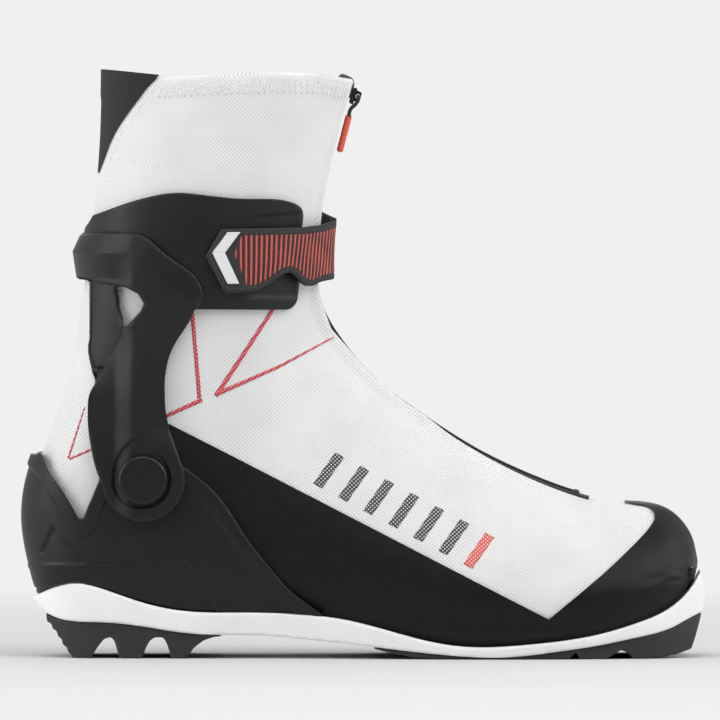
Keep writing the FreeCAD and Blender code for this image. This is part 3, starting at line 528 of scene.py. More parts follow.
# ---------------------------------------------------------------- materials
class Shader:
    """A node material with short names for the nodes that the recipes below share."""

    def __init__(self, name, colour, rough, metal=0.0):
        self.material = bpy.data.materials.new(name)
        self.material.use_nodes = True
        self.tree = self.material.node_tree
        self.surface = self.tree.nodes["Principled BSDF"]
        self.set(self.surface, "Base Color", (*colour, 1.0))
        self.set(self.surface, "Roughness", rough)
        self.set(self.surface, "Metallic", metal)
        self.material.diffuse_color = (*colour, 1.0)

    def set(self, node, key, value):
        if isinstance(value, bpy.types.NodeSocket):
            self.tree.links.new(value, node.inputs[key])
        else:
            node.inputs[key].default_value = value

    def node(self, kind, output=0, inputs=(), **settings):
        made = self.tree.nodes.new("ShaderNode" + kind)
        for key, value in settings.items():
            setattr(made, key, value)
        for key, value in dict(inputs).items():
            self.set(made, key, value)
        return made.outputs[output]

    def math(self, operation, a, b=0.0, c=0.0):
        return self.node("Math", operation=operation, inputs={0: a, 1: b, 2: c})

    def times(self, a, b):
        return self.math("MULTIPLY", a, b)

    def plus(self, a, b):
        return self.math("ADD", a, b)

    def minus(self, a, b):
        return self.math("SUBTRACT", a, b)

    def wave(self, value, pitch):
        """A sine wave along a value in mm."""
        return self.math("SINE", self.times(value, 2 * math.pi / pitch))

    def split(self, vector):
        """The three parts of a vector."""
        made = self.tree.nodes.new("ShaderNodeSeparateXYZ")
        self.tree.links.new(vector, made.inputs[0])
        return made.outputs

    def pattern(self):
        """The piece's own laid-flat pattern, in mm: the whole place, across and up."""
        uv = self.node("UVMap", uv_map="Pattern")
        parts = self.split(uv)
        return uv, parts[0], parts[1]

    def place(self):
        """The piece's own place, in mm."""
        spot = self.tree.nodes.new("ShaderNodeTexCoord").outputs["Object"]
        return self.node("VectorMath", operation="SCALE", inputs={0: spot, "Scale": 1.0 / MM})

    def noise(self, where, scale, detail=2.0, rough=0.5):
        inputs = {"Vector": where, "Scale": scale, "Detail": detail, "Roughness": rough}
        return self.node("TexNoise", inputs=inputs)

    def remap(self, value, low, high, to_low, to_high):
        return self.node("MapRange", inputs={0: value, 1: low, 2: high, 3: to_low, 4: to_high})

    def mix(self, share, a, b):
        made = self.tree.nodes.new("ShaderNodeMix")
        made.data_type = "RGBA"
        self.set(made, 0, share)
        self.set(made, 6, a if isinstance(a, bpy.types.NodeSocket) else (*a, 1.0))
        self.set(made, 7, b if isinstance(b, bpy.types.NodeSocket) else (*b, 1.0))
        return made.outputs[2]

    def bump(self, height, depth_mm, strength=1.0):
        normal = self.node("Bump", inputs={"Height": height, "Distance": depth_mm * MM, "Strength": strength})
        self.set(self.surface, "Normal", normal)

    def colour(self, value):
        self.set(self.surface, "Base Color", value)

    def rough(self, value):
        self.set(self.surface, "Roughness", value)

    def dots(self, u, v, pitch, radius):
        """1 inside small round holes in a staggered grid, 0 outside."""
        row = self.math("DIVIDE", v, pitch / 2)
        shift = self.times(self.math("MODULO", self.math("FLOOR", row), 2.0), 0.5)
        column = self.plus(self.math("DIVIDE", u, pitch), self.math("ABSOLUTE", shift))
        du = self.times(self.minus(self.math("FRACT", column), 0.5), pitch)
        dv = self.times(self.minus(self.math("FRACT", row), 0.5), pitch / 2)
        reach = self.math("SQRT", self.plus(self.math("POWER", du, 2.0), self.math("POWER", dv, 2.0)))
        return self.remap(reach, radius * 0.55, radius * 1.25, 1.0, 0.0)


def softshell():
    """White warp knit with a fine perforation."""
    s = Shader("softshell_white", (0.80, 0.80, 0.80), 0.78)
    uv, u, v = s.pattern()
    holes = s.dots(u, v, DOT_PITCH, 0.27)
    knit = s.noise(uv, 2.4, 3.0, 0.6)
    cloud = s.noise(uv, 0.045, 2.0)
    clean = s.mix(s.remap(cloud, 0.35, 0.7, 0.0, 1.0), (0.83, 0.83, 0.83), (0.76, 0.765, 0.77))
    worn = s.mix(s.remap(knit, 0.3, 0.7, 0.0, 0.28), clean, (0.62, 0.625, 0.63))
    s.colour(s.mix(s.times(holes, 0.6), worn, (0.36, 0.36, 0.37)))
    height = s.minus(s.times(knit, 0.3), holes)
    s.bump(height, 0.22, 0.7)
    s.set(s.surface, "Sheen Weight", 0.15)
    s.rough(s.remap(knit, 0.2, 0.8, 0.7, 0.9))
    return s.material


def printed(name, colour, hole):
    """Ink on the perforated fabric: the holes stay open and show white."""
    s = Shader(name, colour, 0.6)
    uv, u, v = s.pattern()
    holes = s.dots(u, v, DOT_PITCH, hole)
    fade = s.noise(uv, 0.9, 3.0)
    ink = s.mix(s.remap(fade, 0.35, 0.75, 0.0, 0.4), colour, tuple(0.6 * c + 0.08 for c in colour))
    s.colour(s.mix(holes, ink, (0.72, 0.72, 0.72)))
    s.bump(s.minus(s.times(fade, 0.2), holes), 0.15, 0.5)
    return s.material


def moulded_plastic(name="plastic_black", colour=(0.006, 0.006, 0.0064), rough=0.44, grain=0.05):
    """Matt moulded nylon with a fine spark-eroded grain. Its sharp edges and creases are painted lighter,
    partly as rub wear and partly as painted highlight.
    """
    s = Shader(name, colour, rough)
    where = s.place()
    fine = s.noise(where, 4.5, 4.0, 0.65)
    broad = s.noise(where, 0.035, 3.0)
    edge = s.node("NewGeometry", output="Pointiness")
    # painted highlight: edges and creases, found by pointiness, are lightened, partly as rub wear and partly
    # as painted highlight
    rubbed_and_highlit = s.times(s.remap(edge, 0.51, 0.58, 0.0, 0.5), s.remap(broad, 0.4, 0.6, 0.5, 1.0))
    body = s.mix(s.remap(broad, 0.35, 0.65, 0.0, 0.5), colour, tuple(c * 1.35 for c in colour))
    s.colour(s.mix(rubbed_and_highlit, body, tuple(c * 2.6 + 0.01 for c in colour)))
    grained = s.remap(fine, 0.3, 0.7, rough - 0.05, rough + 0.06)
    s.rough(s.plus(grained, s.remap(broad, 0.3, 0.7, -0.03, 0.03)))
    s.bump(fine, grain, 0.6)
    s.set(s.surface, "Specular IOR Level", 0.34)
    return s.material


def film_black():
    """Smooth welded film with the fabric's weave faintly printing through."""
    s = Shader("film_black", (0.006, 0.006, 0.0064), 0.42)
    s.set(s.surface, "Specular IOR Level", 0.22)
    uv, u, v = s.pattern()
    weave = s.noise(uv, 1.8, 2.0)
    scuff = s.noise(uv, 0.12, 5.0, 0.7)
    s.colour(s.mix(s.remap(scuff, 0.5, 0.8, 0.0, 0.5), (0.006, 0.006, 0.0064), (0.014, 0.014, 0.015)))
    s.rough(s.remap(scuff, 0.3, 0.8, 0.38, 0.54))
    s.bump(weave, 0.05, 0.35)
    return s.material


def foam_white():
    """White moulded foam with a faintly mottled skin."""
    s = Shader("foam_white", (0.9, 0.9, 0.89), 0.5)
    where = s.place()
    skin = s.noise(where, 2.2, 4.0, 0.6)
    broad = s.noise(where, 0.05, 3.0)
    s.colour(s.mix(s.remap(broad, 0.35, 0.7, 0.0, 1.0), (0.92, 0.92, 0.915), (0.87, 0.87, 0.865)))
    s.rough(s.remap(skin, 0.3, 0.7, 0.45, 0.6))
    s.bump(skin, 0.06, 0.5)
    return s.material


def rubber_black():
    """Black sole rubber, dusty, with scuffed edges."""
    s = Shader("rubber_black", (0.024, 0.024, 0.025), 0.68)
    where = s.place()
    fine = s.noise(where, 3.0, 5.0, 0.7)
    dust = s.noise(where, 0.18, 4.0, 0.65)
    edge = s.node("NewGeometry", output="Pointiness")
    scuffed = s.times(s.remap(edge, 0.50, 0.60, 0.0, 0.8), s.remap(dust, 0.35, 0.7, 0.2, 1.0))
    body = s.mix(s.remap(dust, 0.45, 0.75, 0.0, 0.6), (0.022, 0.022, 0.023), (0.04, 0.039, 0.038))
    s.colour(s.mix(scuffed, body, (0.09, 0.088, 0.085)))
    s.rough(s.remap(dust, 0.3, 0.7, 0.62, 0.8))
    s.bump(fine, 0.09, 0.6)
    return s.material


def steel():
    """Brushed steel."""
    s = Shader("steel_bar", (0.56, 0.56, 0.57), 0.28, 1.0)
    where = s.place()
    stretch = s.node("VectorMath", operation="MULTIPLY", inputs={0: where, 1: (9.0, 0.25, 9.0)})
    brushed = s.noise(stretch, 1.0, 3.0)
    s.rough(s.remap(brushed, 0.3, 0.7, 0.2, 0.38))
    s.bump(brushed, 0.02, 0.4)
    return s.material


def knit(name, colour, rib, depth=0.25, rough=0.9, sheen=0.2):
    """Ribbed or plain knit: rib is the pitch of its ribs in mm. Its raised ribs are painted lighter and its
    grooves darker, as painted highlight and shade.
    """
    s = Shader(name, colour, rough)
    uv, u, v = s.pattern()
    wave = s.wave(u, rib)
    cross = s.wave(v, rib * 0.6)
    fuzz = s.noise(uv, 3.0, 3.0)
    height = s.plus(s.times(s.plus(wave, s.times(cross, 0.4)), 0.35), fuzz)
    # painted shade and highlight: colour lighter on the knit's raised parts and darker in its grooves,
    # following the bump's height
    light = tuple(c * 1.9 + 0.004 for c in colour)
    s.colour(s.mix(s.remap(height, 0.0, 1.0, 0.0, 1.0), colour, light))
    s.bump(height, depth, 0.7)
    s.set(s.surface, "Sheen Weight", sheen)
    return s.material


def cloth(name, colour, pitch=0.6, depth=0.12):
    """Plain woven cloth that needs no pattern map, with painted shade in the hollows of its weave and painted
    highlight on its raised threads.
    """
    s = Shader(name, colour, 0.9)
    where = s.place()
    x, y, z = s.split(where)
    one = s.wave(s.plus(x, y), pitch)
    two = s.wave(s.plus(z, y), pitch)
    fuzz = s.noise(where, 2.6, 3.0)
    height = s.plus(s.times(one, two), fuzz)
    # painted shade and highlight: colour follows the weave's height, darker in its hollows and lighter on its
    # raised threads
    s.colour(s.mix(s.remap(height, -0.5, 1.5, 0.0, 1.0), colour, tuple(c * 1.8 + 0.004 for c in colour)))
    s.bump(height, depth, 0.6)
    s.set(s.surface, "Sheen Weight", 0.2)
    return s.material


def striped_webbing():
    """Black webbing with raised red-orange stripes where the piece's stripes value is 1."""
    s = Shader("strap_webbing", (0.02, 0.02, 0.021), 0.75)
    uv, u, v = s.pattern()
    zone = s.node("Attribute", output="Fac", attribute_name="stripes")
    wave = s.math("FRACT", s.math("DIVIDE", u, STRIPE_PITCH))
    stripe = s.remap(s.math("ABSOLUTE", s.minus(wave, 0.5)), 0.16, 0.22, 1.0, 0.0)
    weave = s.times(s.wave(u, 0.55), s.wave(v, 0.8))
    fuzz = s.noise(uv, 2.5, 3.0)
    # painted shade and highlight: the black weave is darker in its hollows and lighter on its raised threads,
    # following the bump's weave
    dark = s.mix(s.remap(weave, -1.0, 1.0, 0.0, 1.0), (0.012, 0.012, 0.013), (0.035, 0.035, 0.037))
    red = s.mix(s.remap(fuzz, 0.35, 0.7, 0.0, 1.0), (0.74, 0.10, 0.062), (0.52, 0.062, 0.045))
    lit = s.times(stripe, zone)
    s.colour(s.mix(lit, dark, red))
    s.rough(s.remap(lit, 0.0, 1.0, 0.8, 0.5))
    s.bump(s.plus(s.times(weave, 0.4), fuzz), 0.14, 0.5)
    return s.material


def plain(name, colour, rough, grain=0.03):
    """Smooth soft plastic with a faint mottle."""
    s = Shader(name, colour, rough)
    where = s.place()
    fine = s.noise(where, 3.0, 3.0)
    s.colour(s.mix(s.remap(fine, 0.3, 0.7, 0.0, 0.5), colour, tuple(c * 0.82 for c in colour)))
    s.rough(s.remap(fine, 0.3, 0.7, rough - 0.06, rough + 0.06))
    s.bump(fine, grain, 0.5)
    return s.material


def hooks(name, colour, pitch):
    """Hook or loop tape: a dense field of tiny points."""
    s = Shader(name, colour, 0.85)
    where = s.place()
    cells = s.node("TexVoronoi", inputs={"Vector": where, "Scale": 1.0 / pitch})
    # painted highlight and shade: the tiny points are lighter at their raised tips and near black between
    # them, following the bump's height
    s.colour(s.mix(s.remap(cells, 0.1, 0.6, 1.0, 0.0), (0.008, 0.008, 0.008), tuple(c * 2.0 for c in colour)))
    s.bump(s.minus(1.0, cells), 0.5, 1.0)
    return s.material


MAT = {
    "softshell": softshell(),
    "ink_black": printed("ink_black", (0.02, 0.02, 0.022), 0.36),
    "ink_red": printed("ink_red", (0.60, 0.02, 0.04), 0.26),
    "ink_coral": printed("ink_coral", (0.76, 0.07, 0.05), 0.36),
    "plastic": moulded_plastic(),
    "cap": moulded_plastic("cap_black", (0.006, 0.006, 0.0064), 0.34, 0.015),
    "film": film_black(),
    "foam": foam_white(),
    "rubber": rubber_black(),
    "steel": steel(),
    "elastic": knit("elastic_black", (0.008, 0.008, 0.0085), 0.9, sheen=0.04),
    "lining": knit("lining_grey", (0.055, 0.055, 0.058), 2.4, 0.4),
    "insole": cloth("insole_cloth", (0.05, 0.05, 0.055), 0.9),
    "tape": cloth("zip_tape", (0.014, 0.014, 0.015)),
    "coil": plain("zip_coil", (0.012, 0.012, 0.013), 0.38),
    "binding": cloth("binding_tape", (0.022, 0.022, 0.023), 0.7),
    "thread_black": cloth("thread_black", (0.035, 0.035, 0.036), 0.3, 0.05),
    "thread_white": cloth("thread_white", (0.66, 0.66, 0.66), 0.3, 0.05),
    "strap": striped_webbing(),
    "white_film": plain("white_film", (0.78, 0.78, 0.78), 0.45),
    "pull": plain("pull_red", (0.78, 0.10, 0.06), 0.42),
    "board": plain("board_grey", (0.16, 0.15, 0.14), 0.8, 0.1),
    "hook": hooks("hook_tape", (0.016, 0.016, 0.017), 0.7),
    "loop": hooks("loop_tape", (0.02, 0.02, 0.021), 0.45),
}


# ---------------------------------------------------------------- soft upper
def ridge_gap():
    """1 over the zip's gap in the fabric and 0 elsewhere, for each point of the fabric's grid."""
    open_here = ramp(-SKIN[:, 0, 0], -ZIP_LOW_X, -ZIP_LOW_X + 2.0)[:, None]
    return (1 - ramp(FROM_RIDGE, ZIP_HALF - 0.4, ZIP_HALF + 0.5)) * open_here


def soft_folds():
    """Small slack folds, strongest where the ankle bends."""
    x, y, z = SKIN[..., 0], SKIN[..., 1], SKIN[..., 2]
    bend = np.exp(-((x + 165) ** 2 + (z - 112) ** 2) / 30.0 ** 2)
    back = np.exp(-((x + 268) ** 2 + (z - 118) ** 2) / 26.0 ** 2)
    wave = np.sin(0.19 * (z - 0.8 * x) + 0.05 * y + 1.3 * np.sin(0.045 * x)) * 0.5 * bend
    wave += np.sin(0.24 * z + 0.06 * y) * 0.45 * back
    slack = 0.16 * np.sin(0.055 * x + 0.8 * np.sin(0.06 * z)) * np.sin(0.07 * z + 0.04 * y)
    return wave + slack


def fabric_rise():
    """How far the fabric's outside stands off the CAD's: folds, the turned hem, lips beside the zip on the
    foot, and shoulders that rise level with it on the shaft."""
    x, z = SKIN[..., 0], SKIN[..., 2]
    along_zip = ramp(-SKIN[:, 0, 0], -ZIP_LOW_X, -ZIP_LOW_X + 3.0)[:, None]
    on_shaft = ramp(-SKIN[:, 0, 0], 95.0, 114.0)[:, None]
    drop = ((SKIN[:, :1] - SKIN) * NORMAL[:, :1]).sum(axis=2)
    gap = ridge_gap()
    shoulder = np.clip(drop - 0.1, 0.0, 1.7) * (1 - ramp(FROM_RIDGE, 5.4, 11.0)) * on_shaft * (1 - gap)
    lip = np.exp(-((FROM_RIDGE - ZIP_HALF - 1.0) / 0.8) ** 2) * along_zip
    hem = 1 - ramp(FROM_COLLAR, HEM_DEPTH - 0.8, HEM_DEPTH + 0.4)
    free = ramp(z, 196.0, 204.0) + ramp(x, -205.0, -190.0) * ramp(-z, -142.0, -130.0)
    folds = soft_folds() * np.clip(free, 0.0, 1.0) * 0.8
    return folds + 0.35 * hem + 0.3 * lip + shoulder - ZIP_GAP_DEPTH * gap


def softshell_upper():
    """The white fabric in one piece from toe to collar, with a gap over the zip and a turned hem."""
    outer = SKIN + NORMAL * FABRIC_RISE[..., None]
    inner = SKIN - NORMAL * FABRIC_T
    top = (outer[-1:] * 0.6 + inner[-1:] * 0.4) + np.array([0.0, 0.0, COLLAR_ROLL])
    outer = np.concatenate([outer, top])
    inner = np.concatenate([inner, top - NORMAL[-1:] * 0.3])
    lateral = np.concatenate([LATERAL_UV, LATERAL_UV[-1:]])
    medial = np.concatenate([MEDIAL_UV, MEDIAL_UV[-1:]])
    piece = thick_grid("softshell_upper", outer, inner, closed=True, uv=lateral, uv_other=medial)
    paint(piece, MAT["softshell"])
    on_fabric(piece, "softshell_white", "foot_cover", "shaft_cover", "gusset_front", "gusset_back")


FABRIC_RISE = fabric_rise()
FABRIC_TREE = skin_tree(FABRIC_RISE)


def full_sheet(name, offset, thickness, first=0):
    """A closed sheet over the fabric, from one row of its grid to the collar."""
    outer = (SKIN + NORMAL * (offset + thickness))[first:]
    inner = (SKIN + NORMAL * offset)[first:]
    return thick_grid(name, outer, inner, closed=True, uv=LATERAL_UV[first:], uv_other=MEDIAL_UV[first:])


SOLE_LINE = [(-277.0, 16.0), (-240.0, 15.0), (-190.0, 9.0), (-143.5, 5.0), (-99.5, -4.0), (-68.5, -4.5),
             (-33.5, -1.0), (-7.0, 8.0), (10.0, 22.0)]


def rand_film():
    """Black film welded over the lower upper and round the toe."""
    top = RAND_LINE[:3]
    corner = [tuple(p) for p in smooth_line(RAND_LINE[2:], 28)][1:]
    outline = top + corner + [(corner[-1][0], 66.0), (30.0, 66.0), (30.0, 18.0)]
    outline += SOLE_LINE[::-1] + [(-262.0, 16.0), (-250.0, 55.0), (-243.0, 86.0)]
    piece = trimmed(full_sheet("toe_rand_film", 0.1, 0.8), prism(outline))
    paint(piece, MAT["film"])
    on_fabric(piece, "film_black", "rand", "rand_ankle")


def rows_above(z):
    """The first row of the fabric's grid that lies wholly above a height."""
    return int(np.argmax(SKIN[:, :, 2].min(axis=1) > z))


def collar_elastic():
    """Black ribbed elastic let into the back of the collar."""
    curve = [tuple(p) for p in smooth_line(ELASTIC_LINE[1:], 30)]
    outline = [ELASTIC_LINE[0]] + curve + [(-290.0, ELASTIC_LINE[-1][1]), (-290.0, 262.0)]
    first = rows_above(150.0)
    start = np.maximum(FABRIC_RISE, 0.0)[first:, :, None]
    outer = SKIN[first:] + NORMAL[first:] * (start + 0.45)
    inner = SKIN[first:] + NORMAL[first:] * (start * 0.5)
    rise = np.zeros((1, COLUMNS, 3))
    rise[0, :, 2] = np.interp(SKIN[-1, :, 0], [-251.5, -228.0], [3.0, 1.7])
    outer = np.concatenate([outer, outer[-1:] + rise])
    inner = np.concatenate([inner, inner[-1:] + rise])
    uv = [np.concatenate([m[first:], m[-1:]]) for m in (LATERAL_UV, MEDIAL_UV)]
    sheet = thick_grid("collar_elastic_gore", outer, inner, closed=True, uv=uv[0], uv_other=uv[1])
    piece = trimmed(sheet, prism(outline))
    paint(piece, MAT["elastic"])
    on_body(piece, "cuff", "elastic_black", "collar_elastic")


LINING_T, SHAFT_PADDING_T, COLLAR_LINING_T = 4.2, 1.2, 2.4  # in the foot, more on the shaft, at the collar
LINING_RIB = 0.45
LINING_FIRST_ROW, LINING_STEP = 4, 2                         # the part of the fabric's grid that it follows


def shaft_lining():
    """Padded lining of the shaft and the sock in the foot, quilted in soft upright ribs."""
    shaft = ramp(SKIN[:, COLUMNS // 4, 2], 95.0, 130.0)[:, None]
    ribs = LINING_RIB * np.abs(np.sin(np.arange(COLUMNS) * math.pi / 8))[None, :] * shaft
    near_top = ramp(FROM_COLLAR, 0.5, 7.0)
    depth = LINING_T + SHAFT_PADDING_T * shaft - ribs
    depth = COLLAR_LINING_T + (depth - COLLAR_LINING_T) * near_top
    face = SKIN - NORMAL * depth[..., None]
    back = SKIN - NORMAL * (FABRIC_T + 0.25)
    sheets = [m[LINING_FIRST_ROW::LINING_STEP, ::LINING_STEP] for m in (face, back, LATERAL_UV, MEDIAL_UV)]
    face, back, uv, uv_other = sheets
    piece = thick_grid("shaft_lining", back, face, closed=True, uv=uv, uv_other=uv_other)
    paint(piece, MAT["lining"])
    on_fabric(piece, "padding_grey", "shaft_padding", "foot_lining")


def hem_stitches():
    """Zigzag stitch round the collar's hem."""
    tall, pitch, parts = 6.5, 3.0, []
    row = ROWS - 1
    ring = np.concatenate([SKIN[row], SKIN[row][:1]])
    count = 2 * int(lengths_along(ring)[-1] / pitch)
    tree = skin_tree(FABRIC_RISE + 0.1)
    points = []
    for k in range(count + 1):
        c = (k / count) * COLUMNS
        a, share = int(c) % COLUMNS, c - int(c)
        drop = HEM_DEPTH - 0.5 - (tall if k % 2 else 0.0)
        at = SKIN[row, a] * (1 - share) + SKIN[row, (a + 1) % COLUMNS] * share
        down = SKIN[row - 6, a] - SKIN[row, a]
        points.append(at + down / np.linalg.norm(down) * drop)
    for a, b in zip(points, points[1:]):
        if min(abs(a[1]), abs(b[1])) < ZIP_HALF + 3 and a[0] > -200:
            continue
        if a[0] < -226.0:
            continue
        path = []
        for t in np.linspace(0.06, 0.94, 5):
            hit = tree.find_nearest(Vector(a + (b - a) * t))
            path.append(np.array(hit[0]))
        parts.append(tube(path, 0.16, 5))
    piece = paint(many("hem_stitches", parts), MAT["thread_white"])
    on_body(piece, "cuff", "softshell_white")


def dashes(lines, length, gap, half_width, half_height):
    """Stitches along lines of (point, normal) pairs, as beads."""
    parts = []
    for points, normals in lines:
        at = lengths_along(points)
        s = 0.0
        while s + length < at[-1]:
            a, b = at_length(s, at, points), at_length(s + length, at, points)
            n = at_length(s + length / 2, at, normals)
            way = (b - a) / 2
            across = unit(np.cross(n, way))
            parts.append(bead((a + b) / 2, way, across * half_width, n * half_height))
            s += length + gap
    return parts


def elastic_stitches():
    """Two rows of stitches along the fabric's edge beside the elastic."""
    lines = []
    for side in (-1, 1):
        for aside in (0.9, 2.6):
            path = smooth_line(ELASTIC_LINE[1:], 60)
            found = [seen_from(side, x + aside, z - aside * 0.4, FABRIC_TREE) for x, z in path]
            found = [f for f in found if f is not None]
            points = np.array([p + n * 0.1 for p, n in found])
            lines.append((points, np.array([n for _, n in found])))
    piece = paint(many("elastic_stitches", dashes(lines, 1.7, 0.8, 0.2, 0.16)), MAT["thread_white"])
    on_body(piece, "cuff", "softshell_white")


# ---------------------------------------------------------------- prints
def flat_at(points, side):
    """Where points near the fabric lie on its laid-flat pattern."""
    table = LATERAL_UV if side < 0 else MEDIAL_UV
    result = []
    for p in points:
        index = SKIN_TREE.find_nearest(Vector(p))[2]
        r, c = divmod(index, COLUMNS)
        result.append(table[r, c] + (p - SKIN[r, c])[[0, 2]])
    return np.array(result)


def film_patch(name, left, right, side, offset, thickness, tree=FABRIC_TREE, step=0.9):
    """A thin film between two side-view lines, laid on the fabric or on another surface."""
    left, right = np.array(left, float), np.array(right, float)
    length = max(lengths_along(e)[-1] for e in (left, right))
    rows = max(2, int(length / step) + 1)
    left, right = even_line(left, rows), even_line(right, rows)
    columns = max(2, int(np.linalg.norm(right - left, axis=1).max() / step) + 1)
    points, normals = np.zeros((rows, columns, 3)), np.zeros((rows, columns, 3))
    for r in range(rows):
        for c in range(columns):
            x, z = left[r] + (right[r] - left[r]) * c / (columns - 1)
            points[r, c], normals[r, c] = seen_from(side, x, z, tree)
    uv = points[..., [0, 2]]
    if tree is FABRIC_TREE:
        uv = flat_at(points.reshape(-1, 3), side).reshape(rows, columns, 2)
    outer, inner = points + normals * (offset + thickness), points + normals * offset
    return thick_grid(name, outer, inner, uv=uv)


PRINT_LIFT, PRINT_T = 0.06, 0.05   # of ink: off the fabric, and its thickness


def line_edges(points, halves):
    """The two edges of a side-view line with its own half width at each point."""
    points = np.array(points, float)
    ways = unit(np.diff(points, axis=0))
    way = np.concatenate([ways[:1], (ways[:-1] + ways[1:]) / 2, ways[-1:]])
    across = unit(np.stack([-way[:, 1], way[:, 0]], axis=1))
    width = np.array(halves)[:, None]
    return points + across * width, points - across * width


def zigzag_print():
    """Thin red line that runs over the ankle on both sides."""
    strokes = (
        ([(-212.6, 147.5), (-209.3, 107.0)], [0.85, 0.9]),
        ([(-208.2, 106.4), (-266.2, 80.3)], [0.95, 0.4]),
        ([(-266.8, 80.6), (-259.6, 103.0)], [0.4, 0.22]),
        ([(-176.0, 147.5), (-202.0, 108.2)], [0.8, 1.0]),
        ([(-202.2, 108.7), (-174.2, 120.8), (-150.5, 133.3)], [0.95, 0.6, 0.25]),
    )
    parts = []
    for side in (-1, 1):
        for k, (points, halves) in enumerate(strokes):
            left, right = line_edges(points, halves)
            parts.append(film_patch("stroke", left, right, side, PRINT_LIFT + 0.03 * k, PRINT_T))
    piece = paint(joined("ankle_line_print", parts), MAT["ink_red"])
    on_fabric(piece, "softshell_white")


def bar_print():
    """A row of slanted perforated bars along the foot, the last one coral."""
    start, along_foot, up = np.array((-159.5, 69.6)), np.array((0.884, -0.468)), np.array((9.7, 13.6))
    black, coral = [], []
    count, pitch, width = 7, 12.4, 4.5
    for side in (-1, 1):
        for k in range(count):
            foot = start + along_foot * pitch * k
            left, right = [foot, foot + up], [foot + along_foot * width, foot + along_foot * width + up]
            patch = film_patch("bar", left, right, side, PRINT_LIFT, 0.06)
            (coral if k == count - 1 else black).append(patch)
    for colour, patches in (("black", black), ("coral", coral)):
        on_fabric(paint(joined("bar_print_" + colour, patches), MAT["ink_" + colour]), "softshell_white")


# ---------------------------------------------------------------- zip
def ridge_path(low=ZIP_LOW_X, short=1.0):
    """The ridge's line, outward normals and the across direction, from the zip's lower end to the collar."""
    keep = [r for r in range(ROWS) if SKIN[r, 0, 0] < low and FROM_COLLAR[r, 0] > short]
    points, normals = SKIN[keep, 0].copy(), NORMAL[keep, 0].copy()
    points[:, 1] = 0.0
    normals[:, 1] = 0.0
    count = int(lengths_along(points)[-1])
    return even_line(points, count), even_line(unit(normals), count)


def zip_rise(points):
    """How far the zip stands out at each of these places."""
    return np.interp(points[..., 0], *zip(*ZIP_RISE))[..., None]


def zip_tape():
    """Woven tape in the gap, following the fabric's surface across the ridge."""
    keep = [r for r in range(ROWS) if SKIN[r, 0, 0] < ZIP_LOW_X + 4.0]
    reach = 9
    columns = [c % COLUMNS for c in range(-reach, reach + 1)]
    points, normals = SKIN[keep][:, columns], NORMAL[keep][:, columns]
    across = np.linspace(-1.0, 1.0, len(columns)) * (ZIP_HALF + 0.4)
    placed, facing = np.zeros_like(points), np.zeros_like(points)
    for i in range(len(keep)):
        width = lengths_along(points[i])
        width -= width[reach]
        for axis in range(3):
            placed[i, :, axis] = np.interp(across, width, points[i, :, axis])
            facing[i, :, axis] = np.interp(across, width, normals[i, :, axis])
    rise = zip_rise(placed) * 0.8
    piece = thick_grid("zip_tape", placed + facing * (rise - 0.65), placed + facing * (rise * 0.4 - 1.1))
    paint(piece, MAT["tape"])
    on_fabric(piece, "zip_black", "zip_tape_foot", "zip_tape_shaft")


def zip_coil():
    """Two rows of coil teeth that mesh on the ridge, with a cord and a stitch row each side."""
    points, normals = ridge_path(ZIP_LOW_X - 2.0, 3.0)
    at = lengths_along(points)
    across = np.array([0.0, 1.0, 0.0])
    parts = []
    for k in range(int(at[-1] / COIL_PITCH * 2)):
        s = k * COIL_PITCH / 2
        side = -1 if k % 2 else 1
        centre, n = at_length(s, at, points), at_length(s, at, normals)
        way = np.cross(across, n)
        centre = centre + across * side * 0.85 + n * (zip_rise(centre) - 0.5)
        parts.append(bead(centre, across * 1.55, way * 0.42, n * 0.4))
    for side in (-1, 1):
        parts.append(tube(points + across * side * 2.25 + normals * (zip_rise(points) - 0.6), 0.34, 8))
        stitch = points + across * side * 3.35 + normals * (zip_rise(points) * 0.8 - 0.62)
        parts += dashes([(stitch, normals)], 1.5, 0.7, 0.16, 0.14)
    piece = paint(many("zip_coil", parts), MAT["coil"])
    on_fabric(piece, "zip_black", "zip_chain_foot", "zip_chain_shaft")


def rounded_pad(name, points, normals, half, low, high, taper=2.0):
    """A pad over the ridge: a strip along points, rounded down at its ends and sides."""
    rows, columns = len(points), 15
    length = lengths_along(points)
    outer, inner = np.zeros((rows, columns, 3)), np.zeros((rows, columns, 3))
    for r in range(rows):
        end = min(length[r], length[-1] - length[r])
        for c in range(columns):
            y = half * (2 * c / (columns - 1) - 1)
            base, n, _, _ = SKIN_TREE.find_nearest(Vector(points[r] + (0.0, y, 0.0) + normals[r]))
            base, n = np.array(base), np.array(n)
            n = normals[r] if abs(y) < 3 else n * np.sign(n.dot(normals[r]))
            edge = min(end, half - abs(y))
            swell = math.sqrt(min(1.0, max(edge, 0.0) / taper))
            outer[r, c] = base + n * (low + (high - low) * (0.25 + 0.75 * swell))
            inner[r, c] = base + n * low
    return thick_grid(name, outer, inner)


